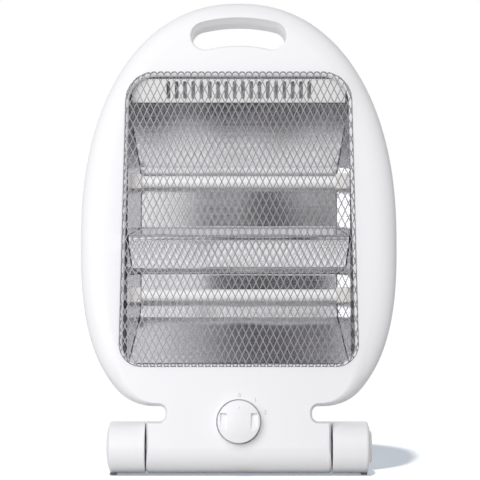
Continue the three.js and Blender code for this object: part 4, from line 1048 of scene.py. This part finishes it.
def stand():
    """Hubs and U-shaped foot, moulded in one, with softly rounded edges."""
    bottom, top = -BARREL.radius, -BARREL.radius + FOOT.thickness
    outline = foot_outline()
    rings = [(FOOT.lower_edge, bottom), (0, bottom + FOOT.lower_edge)]
    rings += [(FOOT.edge - across, top - FOOT.edge + up) for across, up in arc(FOOT.edge, 0, 90, 7)]
    foot = layered("stand", [(grown(outline, -draw), height) for draw, height in rings], "Z")
    for side in (-1, 1):
        profile = [(BARREL.radius - HUB.edge, HUB_START), (BARREL.radius, HUB_START + HUB.edge)]
        rim = HUB_END - HUB.edge
        profile.append((BARREL.radius, rim))
        for angle in range(0, 91, 10):
            turn = math.radians(angle)
            profile.append((BARREL.radius - HUB.rim_round * (1 - math.cos(turn)),
                            rim + (HUB.rim_length + HUB.edge) * math.sin(turn)))
        profile = [(radius, side * along) for radius, along in profile]
        hub = turned("hub", profile, BARREL.sides)
        weld(foot, hub)
        seat = HUB_RIM - HUB.cap_seat
        carve(foot, rod("cap_seat", HUB.cap_radius + FIT, side * (seat - FIT),
                        side * (HUB_RIM + OVERRUN), 96))
        bored, disc = side * (HUB_START - OVERRUN), side * (HUB_START + HUB.disc)
        carve(foot, turned("cavity", [
            (HUB.sleeve_bore, bored), (HUB.sleeve_bore, disc),
            (HUB.cavity_radius, disc), (HUB.cavity_radius, side * seat),
        ], 64))
    pocket_top = bottom - PAD.rise + PAD.height + FIT
    for x in (-PAD.front_offset, PAD.front_offset):
        outline = rectangle(PAD.front_half_width + FIT, PAD.front_half_depth + FIT, x, 0, 0.5, 3)
        carve(foot, layered("pocket", [(outline, bottom - OVERRUN), (outline, pocket_top)], "Z"))
    for x in (-PAD.rear_offset, PAD.rear_offset):
        carve(foot, rod("pocket", PAD.rear_radius + FIT, bottom - OVERRUN, pocket_top, 48, "Z",
                        (x, FOOT.reach - FOOT.bar / 2, 0)))
    soften(foot)
    dressed(foot, gloss_abs, "white_plastic", "stand_frame", body="stand")


def hub_caps():
    """Low crowned caps. The right one is a ring with a soft edge round the button."""
    for side, name in ((-1, "cap_left"), (1, "cap_right")):
        profile = [(HUB.cap_radius, HUB_RIM - HUB.cap_seat)]
        steps = 20
        for step in range(steps + 1):
            share = math.cos(math.pi / 2 * step / steps)
            rise = (1 - share ** HUB.crown_squareness) ** (1 / HUB.crown_fullness)
            profile.append((HUB.cap_radius * share, HUB_RIM + HUB.crown * rise))
        if side > 0:
            hole = BUTTON.radius + FIT
            profile = [pair for pair in profile if pair[0] > hole + HUB.collar]
            edge = profile[-1][1]
            profile += [(hole + 0.2, edge + 0.12), (hole, edge - 0.2), (hole, HUB_RIM - HUB.cap_seat)]
            cap = turned(name, profile + profile[:1], 96, closed=True)
        else:
            cap = turned(name, [(radius, -along) for radius, along in profile], 96)
        soften(cap)
        dressed(cap, gloss_abs, "white_plastic", f"hub_{name}", body="stand")


def fold_button():
    """A flat-domed button on the pin that reaches through the right hub."""
    pin = HUB.sleeve_bore - FIT
    back = BUTTON_FACE - BUTTON.head
    profile = [(pin, BUTTON.pin_end), (pin, back), (BUTTON.radius, back)]
    profile += [(BUTTON.radius - BUTTON.edge + across, BUTTON_FACE - BUTTON.edge + up)
                for across, up in arc(BUTTON.edge, 0, 90, 6)]
    face = BUTTON.radius - BUTTON.edge
    for share in (0.8, 0.55, 0.3, 0):
        profile.append((face * share, BUTTON_FACE + BUTTON.face * (1 - share * share)))
    button = turned("fold_push", profile, 96)
    soften(button)
    dressed(button, gloss_abs, "white_plastic", "fold_button", body="button")


def pads():
    """Pressed-in rubber feet with rounded lower edges."""
    bottom = -BARREL.radius - PAD.rise
    for place, side in SIDES:
        layers = []
        for draw, rise in ((0.6, 0), (0.15, 0.3), (0, 0.8), (0, PAD.height)):
            outline = rectangle(PAD.front_half_width - draw, PAD.front_half_depth - draw,
                                side * PAD.front_offset, 0, 0.6, 4)
            layers.append((outline, bottom + rise))
        front = layered(f"foot_pad_front_{place}", layers, "Z")
        rear = turned(f"foot_pad_rear_{place}", [
            (PAD.rear_radius - draw, bottom + rise)
            for draw, rise in ((0.8, 0), (0.2, 0.3), (0, 0.9), (0, PAD.height))
        ], 48, "Z", (side * PAD.rear_offset, FOOT.reach - FOOT.bar / 2, 0))
        for pad, node in ((front, f"pad_front_{place}"), (rear, f"pad_rear_{place}")):
            soften(pad)
            dressed(pad, pad_rubber, "pad_rubber", node, body="stand")


# Fastenings

def casing_screws():
    """One cross-head screw, made once and copied to its eight places."""
    seat = SCREW.seat + FIT
    top = seat + SCREW.head_height
    profile = [(SCREW.shank * 0.4, -SCREW.reach), (SCREW.shank, -SCREW.reach + 2), (SCREW.shank, seat),
               (SCREW.head, seat), (SCREW.head, top - 1), (SCREW.head * 0.8, top - 0.3),
               (SCREW.head * 0.4, top)]
    screw = turned("cross_screw", profile, 32, "Y")
    long, narrow = SCREW.head * 0.6, SCREW.cross / 2
    for half_width, half_height in ((long, narrow), (narrow, long)):
        carve(screw, slab("cross", rectangle(half_width, half_height, 0, 0, 0.1, 2),
                          top - SCREW.cross_depth, top + OVERRUN))
    soften(screw)
    for name, (x, z) in SCREW_PLACES.items():
        for place, side in SIDES:
            made = copy_of(screw, f"cross_screw_{name}_{place}")
            moved(made, Matrix.Translation((side * x, 0, z)))
            dressed(made, zinc_steel, "zinc_steel", f"screw_{name}_{place}")
    bpy.data.objects.remove(screw)


def cord_bushing():
    """The soft bushing where a cord would pass the rear shell, with rolled edges."""
    inner = HEAD.depth - WALL - FIT - GLAND.thickness
    outer = HEAD.depth + FIT + GLAND.thickness
    roll = GLAND.round
    profile = [(GLAND.bore, inner), (GLAND.flange, inner), (GLAND.flange, HEAD.depth - WALL - FIT),
               (GLAND.neck, HEAD.depth - WALL - FIT), (GLAND.neck, HEAD.depth + FIT),
               (GLAND.flange, HEAD.depth + FIT)]
    profile += [(GLAND.flange - roll + across, outer - roll + up) for across, up in arc(roll, 0, 90, 4)]
    profile += [(GLAND.bore + roll - across, outer - roll + up)
                for up, across in arc(roll, 90, 0, 4)]
    bushing = turned("cord_bushing", profile + profile[:1], 48, "Y", (GLAND.x, 0, GLAND.height), True)
    soften(bushing)
    dressed(bushing, gland_rubber, "gland_rubber", "cord_gland")


def inner_pieces():
    """The pieces that only show through gaps keep their solids and get their real finishes."""
    finishes = {
        "rotary_switch": dark_plastic, "tip_switch": dark_plastic, "tip_pendulum": zinc_steel,
        "thermal_cutout": cutout_metal, "terminal_block": pale_plastic, "switch_shaft": zinc_steel,
        "heating_coil_upper": coil_wire, "heating_coil_lower": coil_wire,
        "hinge_bush_left": pale_plastic, "hinge_bush_right": pale_plastic, "lock_cone": pale_plastic,
        "pivot_pin": zinc_steel, "pin_clip": zinc_steel, "button_spring": zinc_steel,
        "lead_upper": lead_sleeve, "lead_lower": lead_sleeve, "lead_bridge": lead_sleeve,
        "lead_return": lead_sleeve,
    }
    for name, material in finishes.items():
        piece = NODES[name]
        piece.data.materials.clear()
        piece.data.materials.append(material)


# Studio

def looked_at(tree, path):
    """1 for what the camera sees, straight, in a mirror or through glass, and 0 for other rays."""
    seen = path["Is Camera Ray"]
    for ray in ("Is Glossy Ray", "Is Transmission Ray"):
        either = add(tree, "ShaderNodeMath", {0: seen, 1: path[ray]}, operation="MAXIMUM")
        seen = either.outputs["Value"]
    return seen


def floor():
    """A pale floor that shows white to the camera, keeps the heater's shadow and throws little
    light back up."""
    bpy.ops.mesh.primitive_plane_add(size=12)
    ground = bpy.context.object
    ground.name = "floor"
    material, tree, output, place = blank("painted_studio_floor")
    speck = add(tree, "ShaderNodeTexNoise", {"Vector": place, "Scale": per_mm(30), "Detail": 2.0})
    tone = add(tree, "ShaderNodeMix", {
        "Factor": speck.outputs["Fac"], "A": linear("f3f3f4"), "B": linear("f6f6f6"),
    }, data_type="RGBA")
    path = add(tree, "ShaderNodeLightPath").outputs
    bounce = add(tree, "ShaderNodeMix", {
        "Factor": path["Is Diffuse Ray"], "A": tone.outputs["Result"], "B": linear("b4b4b4"),
    }, data_type="RGBA")
    paint = add(tree, "ShaderNodeBsdfDiffuse", {"Color": bounce.outputs["Result"]})
    hue = add(tree, "ShaderNodeMix", {
        "Factor": path["Is Camera Ray"], "A": linear("fbfafb"), "B": linear("e2f0ff"),
    }, data_type="RGBA")
    glow = add(tree, "ShaderNodeEmission", {"Color": hue.outputs["Result"], "Strength": 0.35})
    none = add(tree, "ShaderNodeEmission", {"Strength": 0.0})
    light = add(tree, "ShaderNodeMixShader", {
        0: looked_at(tree, path), 1: none.outputs["Emission"], 2: glow.outputs["Emission"],
    })
    both = add(tree, "ShaderNodeAddShader", {0: paint.outputs["BSDF"], 1: light.outputs["Shader"]})
    tree.links.new(both.outputs["Shader"], output.inputs["Surface"])
    ground.data.materials.append(material)
    return ground


def card(name, shade, size, place, target):
    """A dark board beside the set that the bright metal mirrors. The camera doesn't see it."""
    bpy.ops.mesh.primitive_plane_add(size=1)
    board = bpy.context.object
    board.name = name
    aim = (Vector(target) - Vector(place)).to_track_quat("Z", "Y").to_matrix().to_4x4()
    moved(board, Matrix.Translation(place) @ aim @ Matrix.Diagonal((*size, 1, 1)))
    material, tree, output, _ = blank(f"{name}_felt")
    felt = add(tree, "ShaderNodeBsdfDiffuse", {"Color": linear(shade)})
    tree.links.new(felt.outputs["BSDF"], output.inputs["Surface"])
    board.data.materials.append(material)
    board.visible_camera = False
    board.visible_diffuse = False
    board.visible_shadow = False


def lamp(kind, name, place, target, power):
    bpy.ops.object.light_add(type=kind, location=place)
    light = bpy.context.object
    light.name = name
    light.rotation_euler = (Vector(target) - Vector(place)).to_track_quat("-Z", "Y").to_euler()
    light.visible_camera = False
    light.data.energy = power
    return light


def reaches(light, ground, state):
    """Lets a lamp reach only the floor, or all but the floor."""
    group = bpy.data.collections.new(f"{light.name}_reach")
    group.objects.link(ground)
    group.collection_objects[0].light_linking.link_state = state
    light.light_linking.receiver_collection = group


def world():
    """White to the camera, to mirrors and through glass, and a moderate light from all round."""
    made = bpy.data.worlds.new("studio")
    made.use_nodes = True
    tree = made.node_tree
    tree.nodes.clear()
    path = add(tree, "ShaderNodeLightPath").outputs
    strength = add(tree, "ShaderNodeMapRange", {
        "Value": looked_at(tree, path), "To Min": 0.25, "To Max": 1.0,
    })
    sky = add(tree, "ShaderNodeBackground", {
        "Color": linear("ffffff"), "Strength": strength.outputs["Result"],
    })
    output = add(tree, "ShaderNodeOutputWorld")
    tree.links.new(sky.outputs["Background"], output.inputs["Surface"])
    bpy.context.scene.world = made


def camera():
    """A long lens straight in front of the heater, level with the middle of the photograph."""
    across, distance, height = 0.001, 1.5, 0.19505
    bpy.ops.object.camera_add(location=(across, HINGE.y - distance, height),
                              rotation=(math.pi / 2, 0, 0))
    eye = bpy.context.object
    eye.name = "camera"
    eye.data.sensor_width = 36
    eye.data.lens = 135.0
    eye.data.clip_end = 50
    bpy.context.scene.camera = eye


def studio():
    """A sun for the floor's shadow alone, soft boxes for the heater alone, and dark boards that
    only the bright metal mirrors."""
    bpy.context.scene.view_settings.view_transform = "Standard"
    camera()
    world()
    ground = floor()
    sun = lamp("SUN", "shadow_key", (-0.38, -1.43, 3.15), (0, 0, 0.15), 2.05)
    sun.data.angle = math.radians(3)
    reaches(sun, ground, "INCLUDE")
    for name, place, target, power, size in (
        ("front_softbox", (-0.35, -1.4, 0.85), (0, -0.04, 0.2), 17.5, 1.4),
        ("left_softbox", (-0.45, -0.78, 0.24), (0, 0, 0.2), 1.9, 0.6),
        ("rear_softbox", (0.4, 1.4, 0.7), (0, 0.04, 0.2), 10, 1.4),
    ):
        box = lamp("AREA", name, place, target, power)
        box.data.shape = "SQUARE"
        box.data.size = size
        box.visible_glossy = name == "left_softbox"
        reaches(box, ground, "EXCLUDE")
    card("front_flag", "0c0c0e", (0.2, 0.28), (0.05, -1.15, 0.4), (0.05, 0, 0.2))
    card("overhead_flag", "0c0c0e", (0.2, 0.22), (0.0375, -0.44, 1.05), (0.0375, -0.04, 0.12))
    card("far_mat", "141416", (1.2, 0.2), (0.1, -0.52, 0.004), (0.1, -0.52, 1))
    card("near_mat", "141416", (0.34, 0.13), (0.135, -0.2, 0.004), (0.135, -0.2, 1))


studio()
front_shell()
rear_shell()
mesh_dish()
mesh_rib()
reflector_sheet()
side_plates()
quartz_tubes()
tube_caps()
vent_ceiling()
dial_knob()
dial_marks()
stand()
hub_caps()
fold_button()
pads()
casing_screws()
cord_bushing()
inner_pieces()
